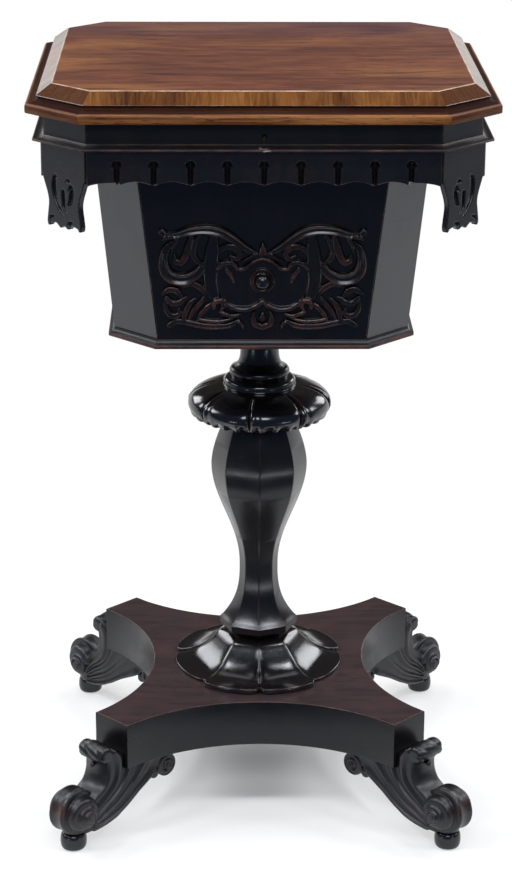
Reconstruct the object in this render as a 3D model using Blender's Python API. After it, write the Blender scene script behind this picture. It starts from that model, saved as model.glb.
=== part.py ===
"""Work table: an eight-sided box with a hinged lid over a tapering work well, on a carved column,
a hollow-sided platform and four scroll feet. Metres, +Z up, origin on the floor under the column,
front towards -Y."""

import math

import bmesh
import bpy

# Clearance between pieces that touch
GAP = 0.0003

# Case octagon at the frieze face: half width, half depth, leg of the canted corner
CASE_HALF_X = 0.203
CASE_HALF_Y = 0.188
CASE_CANT = 0.0415

# Frieze rails, with a rebate on the lower outside face for the aprons
RAIL_HEIGHT = 0.0457
RAIL_THICK = 0.018
APRON_THICK = 0.006
APRON_PROUD = 0.003
MOULD_DROP = 0.0257
MOULD_HEIGHT = 0.0052
MOULD_PROUD = 0.0105
MOULD_EDGE = 0.0020

# Aprons: scalloped lower edge with a round-headed flute above each cusp
APRON_CROWN = 0.0292
APRON_CUSP = 0.0342
FLUTE_PITCH = 0.0336
FLUTE_WIDTH = 0.0048
FLUTE_DEPTH = 0.0024
FLUTE_TOP = 0.0110
FLUTE_MARGIN = 0.0160

# Corner pendants
PENDANT_DROP = 0.0790
PENDANT_SHOULDER = 0.0290
PENDANT_WAIST_DROP = 0.0520
PENDANT_WAIST_IN = 0.0085
PENDANT_TOE_IN = 0.0060
PENDANT_TOE_HEIGHT = 0.0045
PENDANT_CUT = 0.0026

# Lid
LID_THICK = 0.0265
LID_OVERHANG = 0.0166
LID_FIELD_IN = 0.0084
LID_BEVEL_OUT = 0.0150
LID_BEVEL_DROP = 0.0110
LID_FILLET_DROP = 0.0020
LID_FILLET_IN = 0.0026
LID_LIP_HEIGHT = 0.0092
LID_LIP_ROUND = 0.0022
LINING_THICK = 0.0035
LINING_MARGIN = 0.0050

# Butt hinges
HINGE_INSET = 0.0565
HINGE_LENGTH = 0.046
HINGE_LEAF = 0.0130
HINGE_PLATE = 0.0015
KNUCKLE_R = 0.0028
PIN_R = 0.0013
KNUCKLES = 5

# Lock in the front rail, strike in the lid
LOCK_WIDTH = 0.060
LOCK_HEIGHT = 0.028
LOCK_THICK = 0.010
POCKET_WIDTH = 0.0440
POCKET_DEPTH = 0.0140
POCKET_THICK = 0.0048
STRIKE_WIDTH = 0.0460
STRIKE_PLATE = 0.0015
LINK_DROP = 0.0083
LINK_THICK = 0.0020
LINK_WIDTH = 0.0040
LINK_WALL = 0.0010
LINK_EYE = 0.0042
LINK_SPREAD = 0.0200
BOLT_TRAVEL = 0.0050
BOLT_THICK = 0.0014
BOLT_BAR = 0.0034
BOLT_POST = 0.0020
BOLT_TOOTH = 0.0025
KEYHOLE_DROP = 0.0137
KEYHOLE_R = 0.0026
KEYHOLE_SLOT = 0.0030
KEYHOLE_LENGTH = 0.0085

# Case floor, gallery walls and partitions round the mouth of the well
FLOOR_THICK = 0.0080
GALLERY_THICK = 0.0060
GALLERY_HEIGHT = 0.0280
PARTITION_THICK = 0.0050
PARTITION_SPREAD = 0.0560

# Well: set back from the case at the top of its walls, and drawn in at their foot
WELL_SETBACK_X = 0.0438
WELL_SETBACK_Y = 0.0434
WELL_TOP_CANT = 0.0400
WELL_TAPER = 0.0166
WELL_FOOT_CANT = 0.0425
WELL_WALL = 0.0095
WELL_WALL_HEIGHT = 0.1774
WELL_BASE_THICK = 0.0085
WELL_BASE_OUT = 0.0057

# Carved cartouche on the well front and its centre boss
CARVING_MARGIN = 0.0031
CARVING_ABOVE = 0.0560
CARVING_BELOW = 0.0500
CARVING_RISE = 0.0605
CARVING_GROUND = 0.0016
CARVING_RELIEF = 0.0060
BOSS_R = 0.0098
BOSS_RISE = 0.0085
BOSS_SEAT_R = 0.0125
BOSS_SEAT = 0.0036

# Column, from the top down
BEARER_HALF = 0.0600
BEARER_EDGE = 0.0108
BEARER_THICK = 0.0216
NECK_HEIGHT = 0.0460
NECK_R = 0.0195
NECK_RING_R = 0.0305
NECK_HEAD_R = 0.0340
COLLAR_HEIGHT = 0.0492
COLLAR_R = 0.0730
COLLAR_RING_R = 0.0362
COLLAR_HEAD_R = 0.0310
COLLAR_LOBES = 8
COLLAR_SEAM = 0.0130
COLLAR_NECK = 0.45
COLLAR_TURN = 12.5
BALUSTER_HEIGHT = 0.2294
BALUSTER_SIDES = 8
BELLY_R = 0.0491
BELLY_HEIGHT = 0.1851
WAIST_R = 0.0199
WAIST_HEIGHT = 0.0744
RIM_R = 0.0403
RIM_LOW = 0.0084
RIM_HIGH = 0.0154
BALUSTER_FOOT_R = 0.0300
BALUSTER_HEAD_R = 0.0370
SPINDLE_R = 0.0120
SPINDLE_SEAT = 0.0180
TENON_R = 0.0150
TENON_SEAT = 0.0300
LOTUS_HEIGHT = 0.0325
LOTUS_R = 0.0910
LOTUS_TOP_R = 0.0330
LOTUS_LIP = 0.0042
LOTUS_PETALS = 8
LOTUS_SCALLOP = 0.0075

# Platform: square with hollow sides and cut corners
PLATFORM_UNDERSIDE = 0.0745
PLATFORM_THICK = 0.0480
PLATFORM_HALF = 0.1652
PLATFORM_CORNER = 0.1326
PLATFORM_WAIST = 0.1095
PLATFORM_EDGE = 0.0012

# Scroll feet on the diagonals
FOOT_WIDTH = 0.0420
FOOT_ROUND = 0.0042
CURL_OUT = 0.0219
CURL_HEIGHT = 0.0948
CURL_R = 0.0105
CURL_WIDTH = 0.0360
TOE_OUT = 0.0540
TOE_HEIGHT = 0.0418
TOE_R = 0.0235
TOE_WIDTH = 0.0210
TOE_TURN_R = 0.0182
TOE_TURN_WIDTH = 0.0430
TOE_EYE_R = 0.0098
TOE_EYE_RISE = 0.0050
SCROLL_IN = 0.0606
SCROLL_DROP = 0.0182
SCROLL_R = 0.0120
SCROLL_WIDTH = 0.0310
STRAP_HEIGHT = 0.0190
STRAP_SAG = 0.0052
REEDS = 3
REED_PITCH = 0.0062
REED_WIDTH = 0.0026
REED_DEPTH = 0.0018
NECK_FRONT = 0.0235
PAD_OUT = 0.0534
PAD_R = 0.0132
PAD_SOLE_R = 0.0085
PAD_HEIGHT = 0.0180
PAD_SEAT_R = 0.0112

# Half sizes that follow from the sizes above
WELL_TOP_X = CASE_HALF_X - WELL_SETBACK_X
WELL_TOP_Y = CASE_HALF_Y - WELL_SETBACK_Y
WELL_FOOT_X = WELL_TOP_X - WELL_TAPER
WELL_FOOT_Y = WELL_TOP_Y - WELL_TAPER
CARVING_HALF_X = WELL_FOOT_X - WELL_FOOT_CANT - CARVING_MARGIN
HINGE_SPREAD = CASE_HALF_X - CASE_CANT - HINGE_INSET

# Heights that follow from the sizes above
PLATFORM_TOP = PLATFORM_UNDERSIDE + PLATFORM_THICK
LOTUS_Z0 = PLATFORM_TOP + GAP
LOTUS_Z1 = LOTUS_Z0 + LOTUS_HEIGHT
BALUSTER_Z0 = LOTUS_Z1 + GAP
BALUSTER_Z1 = BALUSTER_Z0 + BALUSTER_HEIGHT
COLLAR_Z0 = BALUSTER_Z1 + GAP
COLLAR_Z1 = COLLAR_Z0 + COLLAR_HEIGHT
NECK_Z0 = COLLAR_Z1 + GAP
NECK_Z1 = NECK_Z0 + NECK_HEIGHT
BEARER_Z0 = NECK_Z1 + GAP
BEARER_Z1 = BEARER_Z0 + BEARER_THICK
BASE_Z0 = BEARER_Z1 + GAP
BASE_Z1 = BASE_Z0 + WELL_BASE_THICK
WALL_Z0 = BASE_Z1 + GAP
WALL_Z1 = WALL_Z0 + WELL_WALL_HEIGHT
FLOOR_Z0 = WALL_Z1 + GAP
FLOOR_Z1 = FLOOR_Z0 + FLOOR_THICK
RAIL_Z0 = FLOOR_Z0
RAIL_Z1 = RAIL_Z0 + RAIL_HEIGHT
LID_Z0 = RAIL_Z1 + GAP
LID_Z1 = LID_Z0 + LID_THICK
MOULD_Z0 = RAIL_Z1 - MOULD_DROP
APRON_Z1 = MOULD_Z0 - GAP
HINGE_Y = CASE_HALF_Y + KNUCKLE_R + GAP
HINGE_Z = RAIL_Z1 + GAP / 2
CORNER_R = (PLATFORM_HALF + PLATFORM_CORNER) / math.sqrt(2)

# A mitred octagon grows its canted corner by this much per unit of offset
CANT_RATE = 2 - math.sqrt(2)
MITRE = math.tan(math.radians(22.5))

# Colour, roughness and metallic value of each kind of surface
ROSEWOOD = (0.115, 0.036, 0.020), 0.32, 0.0
DARK = (0.016, 0.012, 0.012), 0.36, 0.0
PLATFORM_WOOD = (0.060, 0.024, 0.018), 0.38, 0.0
BRASS = (0.52, 0.36, 0.14), 0.34, 1.0
IRON = (0.10, 0.095, 0.09), 0.45, 1.0
INSIDE_WOOD = (0.14, 0.055, 0.028), 0.50, 0.0
LINING = (0.17, 0.020, 0.030), 0.85, 0.0


def clear_scene():
    for obj in list(bpy.data.objects):
        bpy.data.objects.remove(obj, do_unlink=True)


def material(name, look):
    colour, roughness, metallic = look
    mat = bpy.data.materials.new(name)
    mat.use_nodes = True
    shader = mat.node_tree.nodes["Principled BSDF"]
    shader.inputs["Base Color"].default_value = (*colour, 1.0)
    shader.inputs["Roughness"].default_value = roughness
    shader.inputs["Metallic"].default_value = metallic
    return mat


def shape(rows, closed=False):
    """A mesh through rows of points: capped at both ends, or closed into a ring."""
    bm = bmesh.new()
    verts = [[bm.verts.new(point) for point in row] for row in rows]
    count = len(rows[0])
    steps = len(rows) if closed else len(rows) - 1
    for i in range(steps):
        low = verts[i]
        high = verts[(i + 1) % len(rows)]
        for j in range(count):
            k = (j + 1) % count
            bm.faces.new((low[j], low[k], high[k], high[j]))
    if not closed:
        bm.faces.new(verts[0][::-1])
        bm.faces.new(verts[-1])
    bmesh.ops.recalc_face_normals(bm, faces=bm.faces)
    mesh = bpy.data.meshes.new("shape")
    bm.to_mesh(mesh)
    bm.free()
    return mesh


def put(name, mesh, look=None, smooth=False):
    mesh.name = name
    obj = bpy.data.objects.new(name, mesh)
    bpy.context.collection.objects.link(obj)
    if look:
        mesh.materials.clear()
        mesh.materials.append(material(name, look))
    if smooth:
        mesh.shade_smooth()
        mesh.set_sharp_from_angle(angle=math.radians(35))
    return obj


def boolean(target, tool_mesh, operation):
    """Cut, or join, one closed mesh and keep the result as the object's own mesh."""
    tool = put("tool", tool_mesh)
    tool.hide_render = True
    tool.display_type = "WIRE"
    modifier = target.modifiers.new("Boolean", "BOOLEAN")
    modifier.operation = operation
    modifier.solver = "EXACT"
    modifier.object = tool
    bpy.context.view_layer.update()
    graph = bpy.context.evaluated_depsgraph_get()
    result = bpy.data.meshes.new_from_object(target.evaluated_get(graph))
    target.modifiers.clear()
    old = target.data
    name = old.name
    target.data = result
    bpy.data.meshes.remove(old)
    result.name = name
    bpy.data.objects.remove(tool, do_unlink=True)
    bpy.data.meshes.remove(tool_mesh)


def block(x0, x1, y0, y1, z0, z1):
    corners = [(x0, y0), (x1, y0), (x1, y1), (x0, y1)]
    return shape([[(x, y, z) for x, y in corners] for z in (z0, z1)])


def circle(radius, z, count, turn=0.0, x=0.0, y=0.0):
    angles = [turn + 2 * math.pi * i / count for i in range(count)]
    return [(x + radius * math.cos(a), y + radius * math.sin(a), z) for a in angles]


def octagon(half_x, half_y, cant, z):
    in_x = half_x - cant
    in_y = half_y - cant
    outline = [
        (-in_x, -half_y),
        (in_x, -half_y),
        (half_x, -in_y),
        (half_x, in_y),
        (in_x, half_y),
        (-in_x, half_y),
        (-half_x, in_y),
        (-half_x, -in_y),
    ]
    return [(x, y, z) for x, y in outline]


def case_ring(offset, z):
    cant = CASE_CANT + offset * CANT_RATE
    return octagon(CASE_HALF_X + offset, CASE_HALF_Y + offset, cant, z)


def well_ring(inset, z):
    """The well's outline at a height, moved in by a wall's thickness."""
    t = (z - WALL_Z0) / WELL_WALL_HEIGHT
    half_x = WELL_FOOT_X + (WELL_TOP_X - WELL_FOOT_X) * t - inset
    half_y = WELL_FOOT_Y + (WELL_TOP_Y - WELL_FOOT_Y) * t - inset
    cant = WELL_FOOT_CANT + (WELL_TOP_CANT - WELL_FOOT_CANT) * t - inset * CANT_RATE
    return octagon(half_x, half_y, cant, z)


def member(side, rings):
    """One mitred length of an octagonal frame, from the frame's profile given as rings."""
    ends = [[], []]
    for ring in rings:
        a = ring[side]
        b = ring[(side + 1) % 8]
        length = math.hypot(b[0] - a[0], b[1] - a[1])
        pull = GAP / 2 / length / math.cos(math.radians(22.5))
        for end, (p, q) in zip(ends, ((a, b), (b, a))):
            point = (p[0] + (q[0] - p[0]) * pull, p[1] + (q[1] - p[1]) * pull, p[2])
            end.append(point)
    return shape(ends)


def ease(t, power=1.0):
    return (0.5 - 0.5 * math.cos(math.pi * t)) ** power


def through(stations, t):
    """A smooth value through stations of (place, value), level at the turns."""
    for (t0, v0), (t1, v1) in zip(stations, stations[1:]):
        if t <= t1:
            return v0 + (v1 - v0) * ease((t - t0) / (t1 - t0))
    return stations[-1][1]


def curve(points, steps):
    """Points along a smooth curve that passes through the given ones."""
    line = []
    padded = [points[0], *points, points[-1]]
    for p0, p1, p2, p3 in zip(padded, padded[1:], padded[2:], padded[3:]):
        for i in range(steps):
            t = i / steps
            line.append(
                tuple(
                    0.5 * (2 * b + (c - a) * t + (2 * a - 5 * b + 4 * c - d) * t * t
                           + (3 * b - a - 3 * c + d) * t ** 3)
                    for a, b, c, d in zip(p0, p1, p2, p3)
                )
            )
    line.append(tuple(points[-1]))
    return line


def build_lid():
    pivot = bpy.data.objects.new("lid_pivot", None)
    pivot.location = (0.0, HINGE_Y, HINGE_Z)
    bpy.context.collection.objects.link(pivot)
    bpy.context.view_layer.update()

    edge = LID_BEVEL_OUT - LID_FIELD_IN
    core = edge - LID_FILLET_IN
    bevel_z = LID_Z1 - LID_BEVEL_DROP
    top = put("lid_top", shape([
        case_ring(core, LID_Z0),
        case_ring(core, bevel_z - LID_FILLET_DROP),
        case_ring(edge, bevel_z),
        case_ring(-LID_FIELD_IN, LID_Z1),
    ]), ROSEWOOD)
    lip_z = LID_Z0 + LID_LIP_HEIGHT
    cove_z = bevel_z - LID_FILLET_DROP
    seat = core + GAP
    nose = LID_OVERHANG
    moulding = put("lid_moulding", shape([
        case_ring(seat, LID_Z0),
        case_ring(nose - LID_LIP_ROUND, LID_Z0),
        case_ring(nose - LID_LIP_ROUND * 0.3, LID_Z0 + LID_LIP_ROUND * 0.7),
        case_ring(nose, LID_Z0 + LID_LIP_HEIGHT * 0.45),
        case_ring(nose - LID_LIP_ROUND * 0.3, lip_z - LID_LIP_ROUND * 0.7),
        case_ring(nose - LID_LIP_ROUND, lip_z),
        case_ring(seat + (nose - LID_LIP_ROUND - seat) * 0.35, lip_z + (cove_z - lip_z) * 0.3),
        case_ring(seat, cove_z),
    ], closed=True), ROSEWOOD)

    inset = -RAIL_THICK - LINING_MARGIN
    recess = [case_ring(inset, LID_Z0 - GAP), case_ring(inset, LID_Z0 + LINING_THICK)]
    boolean(top, shape(recess), "DIFFERENCE")
    panel = [case_ring(inset - GAP, LID_Z0), case_ring(inset - GAP, LID_Z0 + LINING_THICK - GAP)]
    lining = put("lid_lining", shape(panel), LINING)

    pieces = [top, moulding, lining]
    for word, sign in (("left", -1), ("right", 1)):
        x0 = sign * HINGE_SPREAD - HINGE_LENGTH / 2
        x1 = x0 + HINGE_LENGTH
        y0 = HINGE_Y - HINGE_LEAF
        y1 = HINGE_Y + KNUCKLE_R
        z1 = LID_Z0 + HINGE_PLATE
        for piece in (top, moulding):
            slot = block(x0 - GAP, x1 + GAP, HINGE_Y - KNUCKLE_R - GAP, y1 + GAP,
                         LID_Z0 - GAP, HINGE_Z + KNUCKLE_R + GAP)
            boolean(piece, slot, "DIFFERENCE")
        boolean(top, block(x0 - GAP, x1 + GAP, y0 - GAP, y1, LID_Z0 - GAP, z1 + GAP), "DIFFERENCE")
        leaf = hinge_leaf(x0, x1, y0, LID_Z0, z1, 1)
        pieces.append(put("hinge_lid_leaf_" + word, leaf, BRASS))

    lock_y = -(CASE_HALF_Y - RAIL_THICK) - LOCK_THICK / 2
    y0 = lock_y - LOCK_THICK / 2
    y1 = lock_y + LOCK_THICK / 2
    half = STRIKE_WIDTH / 2
    plate_z = LID_Z0 + STRIKE_PLATE
    housing = block(-half - GAP, half + GAP, y0 - GAP, y1 + GAP, LID_Z0 - GAP, plate_z + GAP)
    boolean(top, housing, "DIFFERENCE")
    strike = put("lock_strike", block(-half, half, y0, y1, LID_Z0, plate_z), BRASS)
    for x in link_places():
        link = block(x - LINK_THICK / 2, x + LINK_THICK / 2, lock_y - LINK_WIDTH / 2,
                     lock_y + LINK_WIDTH / 2, LID_Z0 - LINK_DROP, LID_Z0 + STRIKE_PLATE / 2)
        boolean(strike, link, "UNION")
    eye = LINK_WIDTH / 2 - LINK_WALL
    eye_z = LID_Z0 - LINK_DROP + LINK_WALL
    boolean(strike, block(-half, half, lock_y - eye, lock_y + eye, eye_z, eye_z + LINK_EYE), "DIFFERENCE")
    pieces.append(strike)

    for piece in pieces:
        piece.parent = pivot
        piece.matrix_parent_inverse = pivot.matrix_world.inverted()


def link_places():
    """Places along X of the two links, with room for the bolt's travel on their left."""
    middle = BOLT_TRAVEL / 2
    return (middle - LINK_SPREAD / 2, middle + LINK_SPREAD / 2)


def tube_x(x0, x1, radius, y, z, count=10):
    ends = []
    for x in (x0, x1):
        ends.append([(x, b, c) for b, c, _ in circle(radius, 0, count, math.pi / count, y, z)])
    return shape(ends)


def hinge_leaf(x0, x1, y0, z0, z1, first):
    """A leaf's plate with its share of the knuckles, bored for the pin."""
    leaf = put("leaf", block(x0, x1, y0, HINGE_Y - KNUCKLE_R - GAP / 2, z0, z1))
    pitch = HINGE_LENGTH / KNUCKLES
    for i in range(first, KNUCKLES, 2):
        a = x0 + i * pitch + GAP / 2
        b = x0 + (i + 1) * pitch - GAP / 2
        boolean(leaf, block(a, b, y0 + HINGE_PLATE, HINGE_Y, z0, z1), "UNION")
        boolean(leaf, tube_x(a, b, KNUCKLE_R, HINGE_Y, HINGE_Z), "UNION")
    boolean(leaf, tube_x(x0 - GAP, x1 + GAP, PIN_R + GAP, HINGE_Y, HINGE_Z, 8), "DIFFERENCE")
    mesh = leaf.data
    bpy.data.objects.remove(leaf, do_unlink=True)
    return mesh


def build_frieze():
    inner = -RAIL_THICK
    rebate = APRON_PROUD - APRON_THICK - GAP
    rail = [
        case_ring(0, RAIL_Z1),
        case_ring(0, MOULD_Z0),
        case_ring(rebate, MOULD_Z0),
        case_ring(rebate, RAIL_Z0),
        case_ring(inner, RAIL_Z0),
        case_ring(inner, RAIL_Z1),
    ]
    rails = {}
    for side, word in ((0, "front"), (2, "right"), (4, "back"), (6, "left")):
        rails[word] = put("frieze_" + word, member(side, rail), DARK)

    for word, sign in (("left", -1), ("right", 1)):
        x0 = sign * HINGE_SPREAD - HINGE_LENGTH / 2
        x1 = x0 + HINGE_LENGTH
        y0 = HINGE_Y - HINGE_LEAF
        z0 = RAIL_Z1 - HINGE_PLATE
        housing = block(x0 - GAP, x1 + GAP, y0 - GAP, HINGE_Y, z0 - GAP, RAIL_Z1 + GAP)
        boolean(rails["back"], housing, "DIFFERENCE")
        put("hinge_case_leaf_" + word, hinge_leaf(x0, x1, y0, z0, RAIL_Z1, 0), BRASS)
        put("hinge_pin_" + word, tube_x(x0, x1, PIN_R, HINGE_Y, HINGE_Z, 8), IRON, True)

    y1 = -(CASE_HALF_Y - RAIL_THICK)
    y0 = y1 - LOCK_THICK
    half = LOCK_WIDTH / 2
    z0 = RAIL_Z1 - LOCK_HEIGHT
    mortise = block(-half - GAP, half + GAP, y0 - GAP, y1 + GAP, z0 - GAP, RAIL_Z1 + GAP)
    boolean(rails["front"], mortise, "DIFFERENCE")
    key_z = RAIL_Z1 - KEYHOLE_DROP
    front = -CASE_HALF_Y - GAP
    for mesh in (
        block(-KEYHOLE_SLOT / 2, KEYHOLE_SLOT / 2, front, y0, key_z - KEYHOLE_LENGTH, key_z),
        shape([[(x, y, z) for x, z, _ in circle(KEYHOLE_R, 0, 12, 0.0, 0.0, key_z)] for y in (front, y0)]),
    ):
        boolean(rails["front"], mesh, "DIFFERENCE")

    case = put("lock_case", block(-half, half, y0, y1, z0, RAIL_Z1), BRASS)
    middle = (y0 + y1) / 2
    pocket_z = RAIL_Z1 - POCKET_DEPTH
    boolean(case, block(-POCKET_WIDTH / 2, POCKET_WIDTH / 2, middle - POCKET_THICK / 2,
                        middle + POCKET_THICK / 2, pocket_z, RAIL_Z1 + GAP), "DIFFERENCE")
    build_bolt(middle, pocket_z + GAP)

    moulding = [
        case_ring(GAP, MOULD_Z0),
        case_ring(MOULD_PROUD, MOULD_Z0),
        case_ring(MOULD_PROUD, MOULD_Z0 + MOULD_EDGE),
        case_ring(MOULD_PROUD * 0.55, MOULD_Z0 + MOULD_EDGE + (MOULD_HEIGHT - MOULD_EDGE) * 0.25),
        case_ring(MOULD_PROUD * 0.15, MOULD_Z0 + MOULD_EDGE + (MOULD_HEIGHT - MOULD_EDGE) * 0.80),
        case_ring(GAP, MOULD_Z0 + MOULD_HEIGHT),
    ]
    put("frieze_moulding", shape(moulding, closed=True), DARK)

    post = [
        case_ring(0, RAIL_Z1),
        case_ring(0, APRON_Z1),
        case_ring(0, RAIL_Z0),
        case_ring(inner, RAIL_Z0),
        case_ring(inner, RAIL_Z1),
    ]
    words = {1: "front_right", 3: "back_right", 5: "back_left", 7: "front_left"}
    for side, word in words.items():
        corner = put("corner_post_" + word, member(side, post))
        boolean(corner, board(side, pendant_outline()), "UNION")
        for mesh in pendant_cuts(side):
            boolean(corner, mesh, "DIFFERENCE")
        corner.data.materials.append(material("corner_post_" + word, DARK))

    for side, word in ((0, "front"), (2, "right"), (4, "back"), (6, "left")):
        apron = put("apron_" + word, board(side, apron_outline(side)))
        for mesh in apron_flutes(side):
            boolean(apron, mesh, "DIFFERENCE")
        apron.data.materials.append(material("apron_" + word, DARK))


def build_bolt(y, z0):
    """A flat comb: a bar with two posts, each with a tooth that enters a link when it slides."""
    eye_z = LID_Z0 - LINK_DROP + LINK_WALL
    tooth_z0 = eye_z + (LINK_EYE - BOLT_TOOTH) / 2
    tooth_z1 = tooth_z0 + BOLT_TOOTH
    outline = []
    places = link_places()
    reach = LINK_THICK / 2 + BOLT_TRAVEL / 2
    tip_to_post = BOLT_TRAVEL + LINK_THICK - reach + LINK_THICK / 2 + GAP
    start = places[0] - reach - tip_to_post - BOLT_POST
    end = places[1] - reach - tip_to_post
    outline.append((end, z0))
    outline.append((end, tooth_z0))
    for x in reversed(places):
        tip = x - reach + LINK_THICK / 2
        root = x - reach - tip_to_post
        if x != places[1]:
            outline.append((root, z0 + BOLT_BAR))
            outline.append((root, tooth_z0))
        outline.append((tip, tooth_z0))
        outline.append((tip, tooth_z1))
        outline.append((root - BOLT_POST, tooth_z1))
        if x == places[1]:
            outline.append((root - BOLT_POST, z0 + BOLT_BAR))
    outline.append((start, z0))
    ends = [[(px, py, pz) for px, pz in outline] for py in (y - BOLT_THICK / 2, y + BOLT_THICK / 2)]
    put("lock_bolt", shape(ends), IRON)


def side_frame(side):
    """Middle, direction along and outward direction of one side of the case octagon."""
    ring = case_ring(0, 0)
    a = ring[side]
    b = ring[(side + 1) % 8]
    length = math.hypot(b[0] - a[0], b[1] - a[1])
    along = ((b[0] - a[0]) / length, (b[1] - a[1]) / length)
    out = (along[1], -along[0])
    return ((a[0] + b[0]) / 2, (a[1] + b[1]) / 2), along, out, length / 2


def on_side(side, s, offset, z):
    middle, along, out, _ = side_frame(side)
    return (middle[0] + along[0] * s + out[0] * offset, middle[1] + along[1] * s + out[1] * offset, z)


def board(side, outline):
    """A flat board on one side of the case, cut to an outline, with mitred ends."""
    half = side_frame(side)[3]
    faces = []
    for offset in (APRON_PROUD, APRON_PROUD - APRON_THICK):
        grow = (half + offset * MITRE - GAP) / half
        faces.append([on_side(side, s * grow, offset, z) for s, z in outline])
    return shape(faces)


def pendant_outline():
    half = CASE_CANT / math.sqrt(2)
    waist = half - PENDANT_WAIST_IN
    toe = half - PENDANT_TOE_IN
    top = APRON_Z1
    foot = top - PENDANT_DROP
    edge = [(half, top), (half, top - PENDANT_SHOULDER)]
    for i in range(1, 5):
        t = i / 4
        z = top - PENDANT_SHOULDER - (PENDANT_WAIST_DROP - PENDANT_SHOULDER) * t
        edge.append((half + (waist - half) * ease(t), z))
    low = foot + PENDANT_TOE_HEIGHT
    for i in range(1, 4):
        t = i / 3
        z = top - PENDANT_WAIST_DROP
        edge.append((waist + (toe - waist) * ease(t), z + (low - z) * t))
    edge.append((toe - PENDANT_TOE_HEIGHT * 0.4, foot))
    edge.append((toe - PENDANT_TOE_HEIGHT * 1.6, foot + PENDANT_TOE_HEIGHT * 0.9))
    edge.append((toe * 0.22, foot))
    edge.append((0.0, foot + PENDANT_TOE_HEIGHT * 0.5))
    mirrored = [(-s, z) for s, z in reversed(edge[:-1])]
    return edge + mirrored


def band(line, widths):
    """The outline of a stroke along a line, as wide at each point as the widths say."""
    one = []
    other = []
    last = len(line) - 1
    for i, (s, z) in enumerate(line):
        before = line[max(0, i - 1)]
        after = line[min(last, i + 1)]
        ds = after[0] - before[0]
        dz = after[1] - before[1]
        half = widths[i] / 2 / math.hypot(ds, dz)
        one.append((s - dz * half, z + ds * half))
        other.append((s + dz * half, z - ds * half))
    return one + other[::-1]


def pendant_cuts(side):
    """The carved slots of a pendant: a long hooked leaf on the outer side, two stems and a crescent."""
    leaf = [(0.30, 0.395), (0.41, 0.42), (0.43, 0.51), (0.38, 0.61)]
    leaf += [(0.29, 0.70), (0.17, 0.77), (0.03, 0.82)]
    stem = [(0.01, 0.55), (0.0, 0.64), (-0.02, 0.73), (-0.12, 0.80)]
    hook = [(-0.24, 0.53), (-0.37, 0.48), (-0.38, 0.55), (-0.33, 0.65), (-0.19, 0.71)]
    crescent = [(-0.12, 0.43), (-0.22, 0.405), (-0.32, 0.42)]
    half = CASE_CANT / math.sqrt(2)
    outer = 1 if side in (1, 5) else -1
    meshes = []
    for line, widths in (
        (leaf, (0.07, 0.15, 0.18, 0.17, 0.14, 0.11, 0.05)),
        (stem, (0.11, 0.11, 0.09, 0.04)),
        (hook, (0.06, 0.12, 0.16, 0.14, 0.06)),
        (crescent, (0.04, 0.09, 0.04)),
    ):
        middle = [(a * half * outer, APRON_Z1 - b * PENDANT_DROP) for a, b in line]
        outline = band(middle, [width * half for width in widths])
        faces = []
        for offset in (APRON_PROUD + GAP, APRON_PROUD - PENDANT_CUT):
            faces.append([on_side(side, s, offset, z) for s, z in outline])
        meshes.append(shape(faces))
    return meshes


def flute_places(side):
    half = side_frame(side)[3]
    count = int((half - FLUTE_MARGIN) / FLUTE_PITCH)
    return [i * FLUTE_PITCH for i in range(-count, count + 1)]


def apron_outline(side):
    half = side_frame(side)[3]
    cusps = [-half, *flute_places(side), half]
    outline = [(-half, APRON_Z1)]
    for a, b in zip(cusps, cusps[1:]):
        for i in range(5):
            t = i / 5
            rise = math.sin(math.pi * t) ** 0.7
            z = APRON_Z1 - APRON_CUSP + (APRON_CUSP - APRON_CROWN) * rise
            outline.append((a + (b - a) * t, z))
    outline.append((half, APRON_Z1 - APRON_CUSP))
    outline.append((half, APRON_Z1))
    return outline


def apron_flutes(side):
    """Round-headed gouge cuts, each a half-round channel with a pointed head."""
    meshes = []
    for s in flute_places(side):
        rows = []
        neck = FLUTE_TOP + FLUTE_WIDTH * 0.4
        for drop, size in ((APRON_CUSP + FLUTE_WIDTH, 1.0), (neck, 1.0), (FLUTE_TOP, 0.35)):
            row = []
            for i in range(6):
                angle = math.pi / 6 + math.pi * i / 3
                across = math.cos(angle) * FLUTE_WIDTH * 0.5774 * size
                deep = math.sin(angle) * FLUTE_DEPTH * size
                row.append(on_side(side, s + across, APRON_PROUD + deep, APRON_Z1 - drop))
            rows.append(row)
        meshes.append(shape(rows))
    return meshes


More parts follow.
